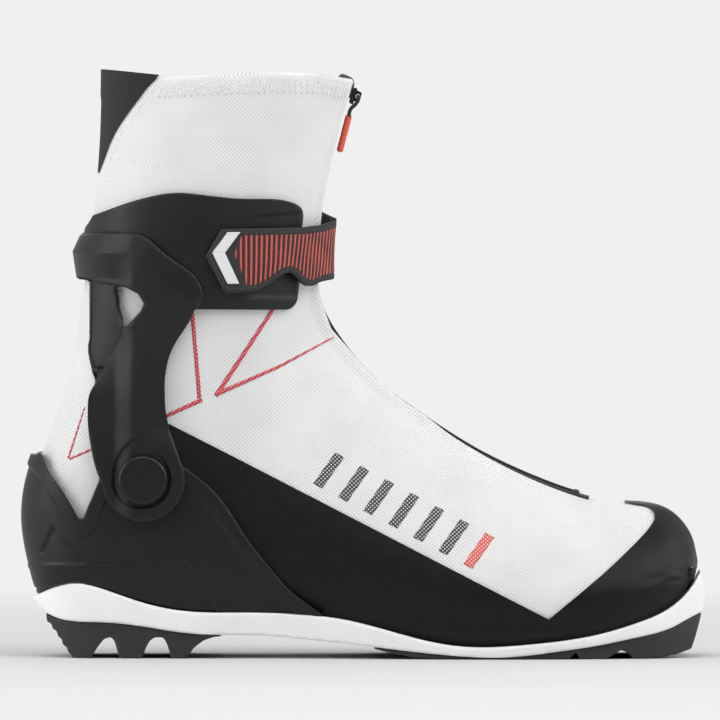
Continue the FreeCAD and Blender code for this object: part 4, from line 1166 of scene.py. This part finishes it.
def garage_fold(corner, out):
    """Tape folded over the collar's front corner: a curled strip down the ridge and in over the top."""
    down = np.array([out[2], 0.0, -out[0]])
    down *= -np.sign(down[2])
    on_ridge = [corner + down * 6.0 + out * 0.7, corner + down * 3.0 + out * 0.9]
    over_top = [corner + out * reach + (0.0, 0.0, rise)
                for reach, rise in ((0.9, 0.4), (0.2, 2.2), (-1.6, 2.7), (-4.6, 2.6), (-5.4, 1.4))]
    line = smooth_line(on_ridge + over_top, 40)
    way = unit(np.gradient(line, axis=0))
    face = np.stack([way[:, 2], np.zeros(len(way)), -way[:, 0]], axis=1)
    across = np.linspace(-1.0, 1.0, 13)
    curl = 0.9 * across ** 2
    outer = line[:, None] + face[:, None] * (0.55 - curl)[None, :, None]
    inner = line[:, None] - face[:, None] * (0.45 + curl)[None, :, None]
    for sheet in (outer, inner):
        sheet[..., 1] += across * 5.4
    return thick_grid("zip_garage_fold", outer, inner)


def zip_ends():
    """The folded garage at the collar and the bar tack at the zip's lower end."""
    points, normals = ridge_path(ZIP_LOW_X, 0.2)
    top = paint(garage_fold(points[-1], normals[-1]), MAT["binding"])
    on_body(top, "cuff", "strap_black", "zip_garage")
    low = paint(rounded_pad("zip_bar_tack", points[:5], normals[:5], 4.6, 0.0, 2.2, 1.2), MAT["binding"])
    on_fabric(low, "zip_black")


def pull_parts():
    """Cord through the slider's eye and the soft tube on its ends."""
    eye = np.array(JOINTS["zip_pull_swing"]["pos_m"]) / MM
    low, high = [np.array(corner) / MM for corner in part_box("zip_pull_grip")]
    top = np.array([high[0] - 1.5, 0.0, high[2] - 0.4])
    bottom = np.array([low[0] + 0.6, 0.0, low[2] - 0.8])
    half = [eye, eye + (0.3, 1.2, -0.3), eye + (-0.3, 1.6, -2.4)]
    half += [top + (0.5, 1.1, 2.2), top + (0.0, 0.5, -1.5)]
    other = [p * (1, -1, 1) for p in half]
    loop = smooth_line(np.array(other[::-1] + half[1:]), 44)
    cord = many("pull_cord", [tube(loop, 0.85, 12)])
    paint(cord, MAT["binding"])
    on_body(cord, "pull", "zip_black", "zip_pull_cord")
    path = even_line([top, bottom], 60)
    s = np.linspace(0, 1, 60)
    radius = 1.47 * np.minimum(1.0, (np.minimum(s, 1 - s) * 14 + 0.25) ** 0.4)
    grooved = ramp(s, 0.45, 0.5) * (1 - ramp(s, 0.88, 0.93))
    radius -= 0.16 * np.clip(np.cos(s * 2 * math.pi * 7) - 0.2, 0, 1) * grooved
    vertices, faces = tube(path, radius, 28)
    grip = paint(mesh_object("pull_grip", vertices, faces), MAT["pull"])
    crease(grip, 60)
    on_body(grip, "pull", "pull_red", "zip_pull_grip")


# ---------------------------------------------------------------- moulded pieces
def line_distance(places, line):
    """Distance of side-view places from a line, and which side of it they are on (positive is left)."""
    line = np.array(line, float)
    best = np.full(len(places), 1e9)
    left = np.zeros(len(places))
    for a, b in zip(line, line[1:]):
        way = b - a
        t = np.clip(((places - a) @ way) / way.dot(way), 0, 1)
        gap = places - (a + t[:, None] * way)
        distance = np.linalg.norm(gap, axis=1)
        nearer = distance < best
        turn = way[0] * (places - a)[:, 1] - way[1] * (places - a)[:, 0]
        best[nearer] = distance[nearer]
        left[nearer] = np.sign(turn[nearer])
    return best, left


def inside(places, outline):
    """True for side-view places inside a closed outline."""
    result = np.zeros(len(places), bool)
    points = list(outline)
    for (ax, az), (bx, bz) in zip(points, points[1:] + points[:1]):
        crosses = (places[:, 1] < az) != (places[:, 1] < bz)
        with np.errstate(divide="ignore", invalid="ignore"):
            at = ax + (places[:, 1] - az) / (bz - az) * (bx - ax)
        result ^= crosses & (places[:, 0] < at)
    return result


def within(places, outline, soft):
    """1 inside a closed outline, 0 outside, smooth over soft mm across its edge."""
    distance, _ = line_distance(places, list(outline) + [outline[0]])
    signed = np.where(inside(places, outline), distance, -distance)
    return ramp(signed, -soft / 2, soft / 2)


def moulded(name, node, voxel, passes, body, slot, material, shape=None, window=None):
    """A CAD node remeshed and softened. window is a side-view outline that is cut away first. shape takes
    places in mm and returns new places."""
    mesh = NODES[node].data
    vertices = [v.co / MM for v in mesh.vertices]
    obj = mesh_object(name, vertices, [tuple(p.vertices) for p in mesh.polygons])
    if window:
        obj = trimmed(obj, prism(window), "DIFFERENCE")
    remesh = obj.modifiers.new("remesh", "REMESH")
    remesh.mode = "VOXEL"
    remesh.voxel_size = voxel * MM
    soften = obj.modifiers.new("soften", "SMOOTH")
    soften.factor = 0.5
    soften.iterations = passes
    applied(obj)
    if shape:
        mesh = obj.data
        count = len(mesh.vertices)
        places = np.zeros(count * 3)
        mesh.vertices.foreach_get("co", places)
        places = shape(places.reshape(-1, 3) / MM)
        mesh.vertices.foreach_set("co", (places * MM).ravel())
        mesh.update()
    obj.data.polygons.foreach_set("use_smooth", [True] * len(obj.data.polygons))
    paint(obj, MAT[material])
    on_body(obj, body, slot, node)


def pushed(places, push, low, high):
    """Places of a shell pushed away from the fabric: nothing at the shell's inner face, low mm from the
    fabric, and all of push at its outer face, high mm from the fabric."""
    moved = places.copy()
    for i in np.flatnonzero(np.abs(push) > 0.01):
        foot = np.array(SKIN_TREE.find_nearest(Vector(places[i]))[0])
        away = places[i] - foot
        distance = np.linalg.norm(away)
        share = float(ramp(distance, low, high - 0.2))
        moved[i] += away / max(distance, 0.1) * push[i] * share
    return moved


TEARDROP = [(PIVOT[0] + x, PIVOT[2] + z) for x, z in (
    (-4.2, 18.0), (-9.3, 13.3), (-12.2, 8.6), (-13.4, 2.8), (-13.4, -2.4), (-12.0, -6.6), (-9.2, -9.8),
    (-5.4, -11.9), (0.2, -12.6), (5.2, -11.4), (9.0, -8.4), (11.4, -4.6), (12.2, 0.2), (11.6, 4.4),
    (9.6, 8.6), (6.2, 13.2), (1.2, 17.8), (-1.4, 19.0))]
ARM_RIDGE = [(-213.0, 149.0), (-219.8, 154.0), (-229.5, 134.9), (-235.0, 122.8), (-237.6, 110.9),
             (-238.0, 98.8), (-236.0, 90.0), (-226.0, 80.0)]
BAND_CREASE = [(-285.0, 170.4), (-263.0, 170.8), (-241.0, 171.2), (-234.0, 168.8), (-213.0, 150.0)]
STRUT = [(-262.0, 158.5), (-248.0, 157.0), (-243.0, 144.0), (-244.0, 136.5), (-257.0, 113.5),
         (-262.0, 118.0)]
ARM_FLAT_Y, ARM_BACK_Y = 44.4, 38.8  # the arm's flat outer face, and its inner one
ARM_STEP_Z = 122.0                   # the flat arm ends and the curved shell starts at this height
ARM_MIDDLE_X = -243.0
EASE_BACK_X = -256.0                 # the shell curves inwards behind this place
SHELL_IN, SHELL_OUT = 3.9, 7.0       # the frame's inner and outer face, from the fabric


def arm_eased(places):
    """The arm's flat lower part and the frame's curved upper part run into each other without a step."""
    shell = skin_tree(SHELL_OUT)
    moved = places.copy()
    for i in np.flatnonzero((places[:, 2] > 94.0) & (places[:, 2] < 138.0)):
        x, y, z = places[i]
        side = 1.0 if y > 0 else -1.0
        found = seen_from(side, max(x, EASE_BACK_X), z, shell)
        if found is None:
            continue
        shell_y = abs(found[0][1])
        share = float(ramp(z, 104.0, 136.0))
        surface = ARM_FLAT_Y * (1 - share) + shell_y * share
        outer_y = min(shell_y, ARM_FLAT_Y) if z > ARM_STEP_Z - 3.0 else ARM_FLAT_Y
        if abs(y) > outer_y - 1.5:
            strut = float(ramp(z, 120.0, 124.0) * (1 - ramp(x, -256.0, -250.0)))
            moved[i, 1] = y * strut + side * surface * (1 - strut)
        elif z < ARM_STEP_Z and abs(y) > ARM_BACK_Y:
            moved[i, 1] = y + side * (surface - ARM_FLAT_Y)
        elif z < ARM_STEP_Z - 3.0:
            moved[i, 0] = x + (ARM_MIDDLE_X - x) * 0.14 * (1 - float(ramp(z, 113.0, 119.0)))
    return moved


FRAME_WINDOW = [(-247.6, 156.6), (-242.0, 155.9), (-236.2, 153.0), (-233.6, 148.8), (-235.0, 145.4),
                (-242.4, 137.4)]
WRAP_CORNER = [(-265.0, 180.0), (-259.8, 181.6), (-257.6, 184.6), (-256.0, 187.6), (-253.0, 192.0),
               (-265.0, 194.0)]


def cuff_frame_shape(places):
    """Facets that meet in a crease round the back band and in a ridge down the arm, and sunk panels."""
    places = arm_eased(places)
    side = places[:, [0, 2]]
    gap, hand = line_distance(side, ARM_RIDGE)
    low_side = (hand > 0) & (side[:, 1] < 152) & (side[:, 1] > 60)
    front = np.where(low_side, np.minimum(gap, 14.0) * 0.22, 0.0)
    rear = np.where(hand < 0, np.minimum(gap, 22.0) * 0.13, 0.0) * (1 - ramp(side[:, 1], 112.0, 142.0))
    push = -(front + rear) * ramp(side[:, 1], 74.0, 96.0)
    on_arm = (1 - ramp(side[:, 1], 112.0, 134.0)) * push - 1.1 * within(side, TEARDROP, 0.9)
    back = 1 - ramp(side[:, 0], -248.0, -238.0)
    crease = -0.3 * np.minimum(np.abs(side[:, 1] - 171.0), 11.0) * back
    gap, hand = line_distance(side, BAND_CREASE)
    above = (hand > 0) & (side[:, 1] > 148)
    crease -= np.where(above, np.minimum(gap, 9.0) * 0.2, 0.0) * (1 - back)
    crease -= 0.9 * within(side, STRUT, 1.2)
    on_shell = ramp(side[:, 1], 112.0, 134.0) * push + crease
    depth = ramp(np.abs(places[:, 1]), ARM_FLAT_Y - 3.2, ARM_FLAT_Y - 0.4)
    depth[side[:, 1] > 108.0] = 1.0
    places[:, 1] += np.sign(places[:, 1]) * on_arm * depth
    return pushed(places, on_shell, SHELL_IN, SHELL_OUT)


COUNTER_STEP = [(-295.0, 31.5), (-280.0, 33.2), (-266.0, 33.6), (-259.0, 34.0), (-245.6, 33.9),
                (-231.0, 36.4), (-220.7, 39.4), (-216.2, 37.8), (-203.3, 19.0), (-198.0, 5.0)]
COUNTER_FOLD = [(-271.3, 47.5), (-266.5, 41.0), (-262.0, 36.6), (-259.0, 34.5)]
COUNTER_SCOOP = [(-278.2, 39.5), (-275.9, 45.2), (-273.6, 49.6)]
SOLE_TOP = [(-284.0, 22.4), (-271.0, 24.0), (-262.0, 24.4), (-253.5, 22.8), (-236.0, 17.2), (-218.0, 12.8),
            (-200.0, 10.0)]


def heel_counter_shape(places):
    """A low step round the cup, a fold that rises from it to the heel, and a groove above the sole."""
    side = places[:, [0, 2]]
    gap, hand = line_distance(side, COUNTER_STEP)
    push = -0.9 * ramp(np.where(hand < 0, gap, -gap), -0.4, 1.4) * ramp(side[:, 0], -281.0, -262.0)
    push += 0.4 * np.exp(-(gap / 0.9) ** 2)
    gap, hand = line_distance(side, COUNTER_FOLD)
    push += 0.4 * np.exp(-(gap / 0.9) ** 2)
    falling = (hand < 0) & (side[:, 1] > 34.5) & (side[:, 0] < -250.0)
    push -= np.where(falling, 0.8 * np.exp(-gap / 5.0) * ramp(gap, 0.0, 0.8), 0.0)
    gap, _ = line_distance(side, COUNTER_SCOOP)
    push -= 0.8 * (1 - ramp(gap, 0.3, 1.4))
    gap, _ = line_distance(side, SOLE_TOP)
    push -= 0.6 * np.exp(-(gap / 0.7) ** 2)
    return pushed(places, push, 0.6, 2.6)


WRAP_BAY = [(-211.0, 169.0), (-203.0, 181.5), (-186.0, 186.8), (-158.0, 189.0), (-158.0, 151.0),
            (-200.0, 151.5)]
WRAP_RIM = [(-209.0, 197.5), (-187.4, 195.2), (-169.8, 193.9), (-164.5, 189.0), (-166.0, 150.0)]


def cuff_wrap_shape(places):
    """The panel under the strap is sunk, and its front edge has a rim."""
    side = places[:, [0, 2]]
    push = -0.9 * within(side, WRAP_BAY, 3.0) * ramp(side[:, 0], -200.0, -180.0)
    front, _ = line_distance(side, WRAP_RIM)
    push += 0.3 * (1 - ramp(front, 0.8, 2.2))
    return pushed(places, push, 1.0, 3.4)


def moulded_pieces():
    """The moulded shells and soles: name, CAD node, voxel in mm, smoothing passes, body, slot, material."""
    moulded("cuff_hinge_frame", "cuff_frame", 0.62, 5, "cuff", "plastic_black", "plastic", cuff_frame_shape,
            FRAME_WINDOW)
    moulded("cuff_wrap_panel", "cuff_wrap", 0.6, 4, "cuff", "plastic_black", "plastic", cuff_wrap_shape,
            WRAP_CORNER)
    moulded("heel_cup", "heel_counter", 0.55, 3, "boot", "plastic_black", "plastic", heel_counter_shape)
    for plain_piece in (
        ("midsole_foam", "midsole", 0.75, 4, "boot", "foam_white", "foam"),
        ("heel_treads", "outsole_heel", 0.6, 2, "boot", "rubber_black", "rubber"),
        ("forefoot_treads", "outsole_forefoot", 0.6, 2, "boot", "rubber_black", "rubber"),
        ("footbed", "insole", 1.0, 8, "boot", "insole_foam", "insole"),
        ("loop_tape_pad", "loop_pad", 0.3, 2, "cuff", "hook_black", "loop"),
        ("hook_tape_pad", "hook_pad", 0.25, 2, "strap_end", "hook_black", "hook"),
    ):
        moulded(*plain_piece)


def cad_pieces():
    """CAD nodes whose shape is already right: only their finish changes."""
    finishes = {"toe_bar": "steel", "pivot_caps": "cap", "pivot_rivets": "steel", "strap_rivets": "cap",
                "lasting_board": "board", "toe_puff": "board", "zip_slider": "cap"}
    for node, finish in finishes.items():
        for slot in NODES[node].material_slots:
            slot.material = MAT[finish]
    for node in ("zip_slider", "strap_rivets"):
        soften = NODES[node].modifiers.new("edge", "BEVEL")
        soften.width = 0.25 * MM
        soften.segments = 2
        soften.limit_method = "ANGLE"


# ---------------------------------------------------------------- strap
STRAP_AXIS = (-203.0, 0.0)       # the strap runs round this upright line
STRAP_MIDDLE_Z = 171.0
STRAP_OUT, STRAP_IN = 6.55, 4.95 # its outer and inner face, from the fabric
STRAP_TURN = 96.0                # degrees that it reaches to each side of straight ahead
BINDING = 2.1                    # width of its bound edge
STRAP_TOP = [(-207.4, 169.8), (-199.8, 181.6), (-165.4, 182.6), (-156.6, 183.5), (-150.0, 185.2)]
STRAP_LOW = [(-207.4, 169.6), (-199.8, 155.3), (-198.0, 154.1), (-183.9, 154.9), (-178.6, 157.1),
             (-174.2, 160.2), (-170.7, 162.6), (-168.2, 162.8), (-166.0, 161.6), (-163.2, 158.8),
             (-160.4, 156.9), (-157.5, 156.6), (-154.4, 158.0), (-150.0, 158.4)]
BASE_TOP = [(-150.0, 185.8), (-158.0, 189.3), (-170.0, 189.0), (-200.0, 185.5), (-205.5, 180.5),
            (-207.0, 172.5)]
BASE_LOW = [(-150.0, 158.4), (-170.0, 160.0), (-200.0, 160.5), (-205.5, 164.5), (-207.0, 172.3)]


def strap_surface():
    """The strap's mid line and edges as a grid: columns run from the lateral tip round the shin to the medial
    end, rows from its lower edge to its upper one. Returns places on the fabric and their normals."""
    rows, columns = 49, 300
    angles = np.radians(np.linspace(-STRAP_TURN, STRAP_TURN, columns * 3))
    mid = []
    for a in angles:
        way = Vector((math.cos(a), math.sin(a), 0.0))
        hit = SKIN_TREE.ray_cast(Vector((*STRAP_AXIS, STRAP_MIDDLE_Z)) + way * 120.0, -way)
        mid.append(np.array(hit[0]) + np.array(way) * 6.0)
    mid = np.array(mid)
    at = lengths_along(mid)
    tips = [np.interp(-207.4, mid[:300, 0], at[:300]), np.interp(207.0, -mid[-300:, 0], at[-300:])]
    stations = np.linspace(*tips, columns)
    place, facing = np.zeros((rows, columns, 3)), np.zeros((rows, columns, 3))
    spread = np.zeros((rows, columns))
    for c, s in enumerate(stations):
        a = np.interp(s, at, angles)
        x = np.interp(s, at, mid[:, 0])
        if a < 0:
            top, low = [np.interp(x, *zip(*line)) for line in (STRAP_TOP, STRAP_LOW)]
        else:
            top, low = [np.interp(-x, *zip(*[(-p, q) for p, q in line])) for line in (BASE_TOP, BASE_LOW)]
        for r in range(rows):
            z = low + (top - low) * r / (rows - 1)
            way = Vector((math.cos(a), math.sin(a), 0.0))
            hit, normal, _, _ = SKIN_TREE.ray_cast(Vector((*STRAP_AXIS, z)) + way * 120.0, -way)
            normal = normal if normal.dot(way) > 0 else -normal
            place[r, c], facing[r, c] = np.array(hit), np.array(normal)
            spread[r, c] = z
    return place, facing, stations, spread


def edge_distance(stations, heights):
    """Distance of each strap point from the strap's nearest edge."""
    places = np.stack([np.broadcast_to(stations, heights.shape).ravel(), heights.ravel()], axis=1)
    low, top = np.stack([stations, heights[0]], 1), np.stack([stations, heights[-1]], 1)
    outline = np.concatenate([low, top[::-1]])
    distance, _ = line_distance(places, np.concatenate([outline, outline[:1]])[::2])
    return distance.reshape(heights.shape)


def on_strap(piece):
    """The piece's place is baked into its mesh."""
    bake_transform(piece)


def strap():
    """Webbing strap: bound edge, raised stripes, a notch in its lower edge and a pointed end. Returns its
    outside as a surface for casting rays."""
    place, facing, stations, heights = strap_surface()
    edge = edge_distance(stations, heights)
    from_tip = (stations - stations[0])[None, :] + 0 * heights
    shin = np.interp(0.0, place[24, :, 1], stations) - stations[0]
    arrow = 13.0 + np.abs(heights - STRAP_MIDDLE_Z) * 0.44
    field = ramp(edge, 2.7, 3.1) * ramp(from_tip - arrow, 0.0, 0.5)
    field = field * (1 - ramp(from_tip, shin + 6.0, shin + 7.0))
    middle = place[len(place) // 2]
    way = unit(np.gradient(middle, axis=0) * (1.0, 1.0, 0.0))
    across = from_tip + ((place - middle) * way).sum(axis=2)
    phase = np.abs((across / STRIPE_PITCH) % 1.0 - 0.5)
    stripe = (1 - ramp(phase, 0.15, 0.23)) * field
    binding = 1 - ramp(edge, BINDING, BINDING + 0.5)
    roll = 0.45 * np.sqrt(np.clip(edge / 1.1, 0.0, 1.0))
    lift = STRAP_OUT + binding * roll + 0.22 * stripe + 0.3 * ramp(edge, 2.2, 3.2)
    under = STRAP_IN + 0.35 * binding * (1 - np.clip(edge / 1.1, 0.0, 1.0))
    uv = np.stack([across, heights], axis=2)
    outer, inner = place + facing * lift[..., None], place + facing * under[..., None]
    piece = thick_grid("ankle_strap", outer, inner, uv=uv)
    zone = piece.data.attributes.new("stripes", "FLOAT", "POINT")
    zone.data.foreach_set("value", np.concatenate([field.ravel(), np.zeros(field.size)]))
    paint(piece, MAT["strap"])
    on_strap(piece)
    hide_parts("strap_free", "strap_base")
    strap_stitches(place, facing, edge, lift)
    return surface_tree(outer)


def strap_stitches(place, facing, edge, lift):
    """One row of stitches just inside the bound edge, top and bottom."""
    lines = []
    for upper in (False, True):
        points, normals = [], []
        for c in range(4, place.shape[1] - 4):
            column = edge[:, c]
            half = len(column) // 2
            part = range(half, len(column)) if upper else range(half)
            r = min(part, key=lambda i: abs(column[i] - 1.7))
            points.append(place[r, c] + facing[r, c] * (lift[r, c] + 0.05))
            normals.append(facing[r, c])
        points = np.array(points)
        points[1:-1] = (points[:-2] + points[1:-1] + points[2:]) / 3
        lines.append((points, np.array(normals)))
    piece = paint(many("strap_stitches", dashes(lines, 1.6, 0.7, 0.2, 0.16)), MAT["thread_black"])
    on_strap(piece)


def chevron(tree):
    """White bent arrow welded near the strap's end."""
    left = [(-196.9, 180.0), (-203.6, 171.0), (-196.9, 157.4)]
    right = [(-191.4, 180.0), (-198.1, 171.0), (-191.9, 157.4)]
    halves = [film_patch("chevron", left[i:i + 2], right[i:i + 2], -1, 0.03, 0.4, tree, 0.6) for i in (0, 1)]
    piece = paint(joined("strap_chevron_film", halves), MAT["white_film"])
    on_body(piece, "strap_end", "print_white", "strap_chevron")


# ---------------------------------------------------------------- floor, light and camera
ROOM_LEVEL = 0.87                # what the camera sees behind the boot
ROOM_LIGHT = (0.08, 0.72)         # the room's light from the camera's side, and from the others
GLOW_REACH = (300.0, 900.0)


def stage():
    """A wide pale floor. Far from the boot it glows as bright as the room, so that no horizon shows."""
    low, sides, reaches = GROUND - 0.00005, 96, (0.25, 0.6, 1.2, 3.0, 14.0)
    middle = (cad_box[0][0] + cad_box[1][0]) / 2
    vertices = [(middle / MM, 0.0, low / MM)]
    for reach in reaches:
        for k in range(sides):
            a = 2 * math.pi * k / sides
            vertices.append(((middle + reach * math.cos(a)) / MM, reach * math.sin(a) / MM, low / MM))
    faces = [(0, 1 + k, 1 + (k + 1) % sides) for k in range(sides)]
    for r in range(len(reaches) - 1):
        a, b = 1 + r * sides, 1 + (r + 1) * sides
        faces += [(a + k, b + k, b + (k + 1) % sides, a + (k + 1) % sides) for k in range(sides)]
    floor = mesh_object("studio_floor", vertices, faces)
    s = Shader("studio_floor", (0.66, 0.66, 0.66), 0.95)
    s.set(s.surface, "Specular IOR Level", 0.0)
    cloud = s.noise(s.place(), 0.002, 2.0)
    s.colour(s.mix(s.remap(cloud, 0.3, 0.7, 0.0, 1.0), (0.66, 0.66, 0.66), (0.65, 0.65, 0.65)))
    from_middle = {0: s.place(), 1: (middle / MM, 0.0, low / MM)}
    centre = s.node("VectorMath", operation="SUBTRACT", inputs=from_middle)
    reach = s.node("VectorMath", output=1, operation="LENGTH", inputs={0: centre})
    far = s.remap(reach, *GLOW_REACH, 0.0, 1.0)
    glow = s.node("Emission", inputs={"Color": (ROOM_LEVEL,) * 3 + (1.0,), "Strength": 1.0})
    blend = s.node("MixShader", inputs={0: far, 1: s.surface.outputs[0], 2: glow})
    s.tree.links.new(blend, s.tree.nodes["Material Output"].inputs["Surface"])
    paint(floor, s.material)


def room():
    """The same pale level behind the boot everywhere. It lights the boot softly, less from the camera's
    side."""
    world = bpy.data.worlds.new("studio")
    world.use_nodes = True
    tree = world.node_tree
    output = tree.nodes["World Output"]
    seen, light = tree.nodes["Background"], tree.nodes.new("ShaderNodeBackground")
    seen.inputs["Color"].default_value = (ROOM_LEVEL,) * 3 + (1.0,)
    split = tree.nodes.new("ShaderNodeSeparateXYZ")
    tree.links.new(tree.nodes.new("ShaderNodeTexCoord").outputs["Generated"], split.inputs[0])
    level = tree.nodes.new("ShaderNodeMapRange")
    level.inputs[1].default_value, level.inputs[2].default_value = -0.85, 0.1
    level.inputs[3].default_value, level.inputs[4].default_value = ROOM_LIGHT
    tree.links.new(split.outputs[1], level.inputs[0])
    tree.links.new(level.outputs[0], light.inputs["Strength"])
    mix = tree.nodes.new("ShaderNodeMixShader")
    tree.links.new(tree.nodes.new("ShaderNodeLightPath").outputs["Is Camera Ray"], mix.inputs[0])
    tree.links.new(light.outputs[0], mix.inputs[1])
    tree.links.new(seen.outputs[0], mix.inputs[2])
    tree.links.new(mix.outputs[0], output.inputs["Surface"])
    bpy.context.scene.world = world


def soft_box(name, place, target, size, power):
    """A rectangular area light, in metres and watts, aimed at a place."""
    light = bpy.data.lights.new(name, "AREA")
    light.shape = "RECTANGLE"
    light.size, light.size_y = size
    light.energy = power
    obj = bpy.data.objects.new(name, light)
    obj.location = place
    obj.rotation_euler = (Vector(target) - Vector(place)).to_track_quat("-Z", "Y").to_euler()
    bpy.context.scene.collection.objects.link(obj)


def lights():
    """Large boxes above, before, behind and beyond the boot."""
    middle = (Vector(cad_box[0]) + Vector(cad_box[1])) / 2
    soft_box("top_box", middle + Vector((0.0, -0.95, 1.3)), middle, (1.6, 1.2), 13.0)
    soft_box("front_box", middle + Vector((1.5, -0.9, 1.1)), middle, (0.9, 1.2), 14.0)
    soft_box("heel_box", middle + Vector((-1.6, -0.5, 0.6)), middle, (1.7, 1.2), 17.0)
    soft_box("toe_box", middle + Vector((1.5, 0.2, 0.6)), middle, (0.8, 1.0), 5.0)
    soft_box("far_box", middle + Vector((-0.2, 1.8, 0.9)), middle, (1.4, 1.2), 8.0)


CAMERA_DISTANCE, FRAME_WIDTH = 8.0, 0.3168      # metres
CAMERA_RISE = math.radians(1.2)


def camera():
    """Nearly level and from far away, so that both sides of the boot are drawn at almost the same size."""
    low, high = Vector(cad_box[0]), Vector(cad_box[1])
    data = bpy.data.cameras.new("camera")
    data.sensor_width = 36.0
    data.lens = data.sensor_width * CAMERA_DISTANCE / FRAME_WIDTH
    data.clip_end = 60.0
    aim = Vector(((low.x + high.x) / 2 - 0.0012, 0.0, low.z + 0.13015))
    obj = bpy.data.objects.new("camera", data)
    obj.location = aim + Vector((0.0, -math.cos(CAMERA_RISE), math.sin(CAMERA_RISE))) * CAMERA_DISTANCE
    obj.rotation_euler = (aim - obj.location).to_track_quat("-Z", "Y").to_euler()
    bpy.context.scene.collection.objects.link(obj)
    bpy.context.scene.camera = obj


softshell_upper()
rand_film()
collar_elastic()
shaft_lining()
hem_stitches()
elastic_stitches()
zigzag_print()
bar_print()
zip_tape()
zip_coil()
zip_ends()
pull_parts()
moulded_pieces()
cad_pieces()
chevron(strap())
stage()
room()
lights()
camera()
bpy.context.scene.view_settings.view_transform = "Standard"

bpy.context.view_layer.update()
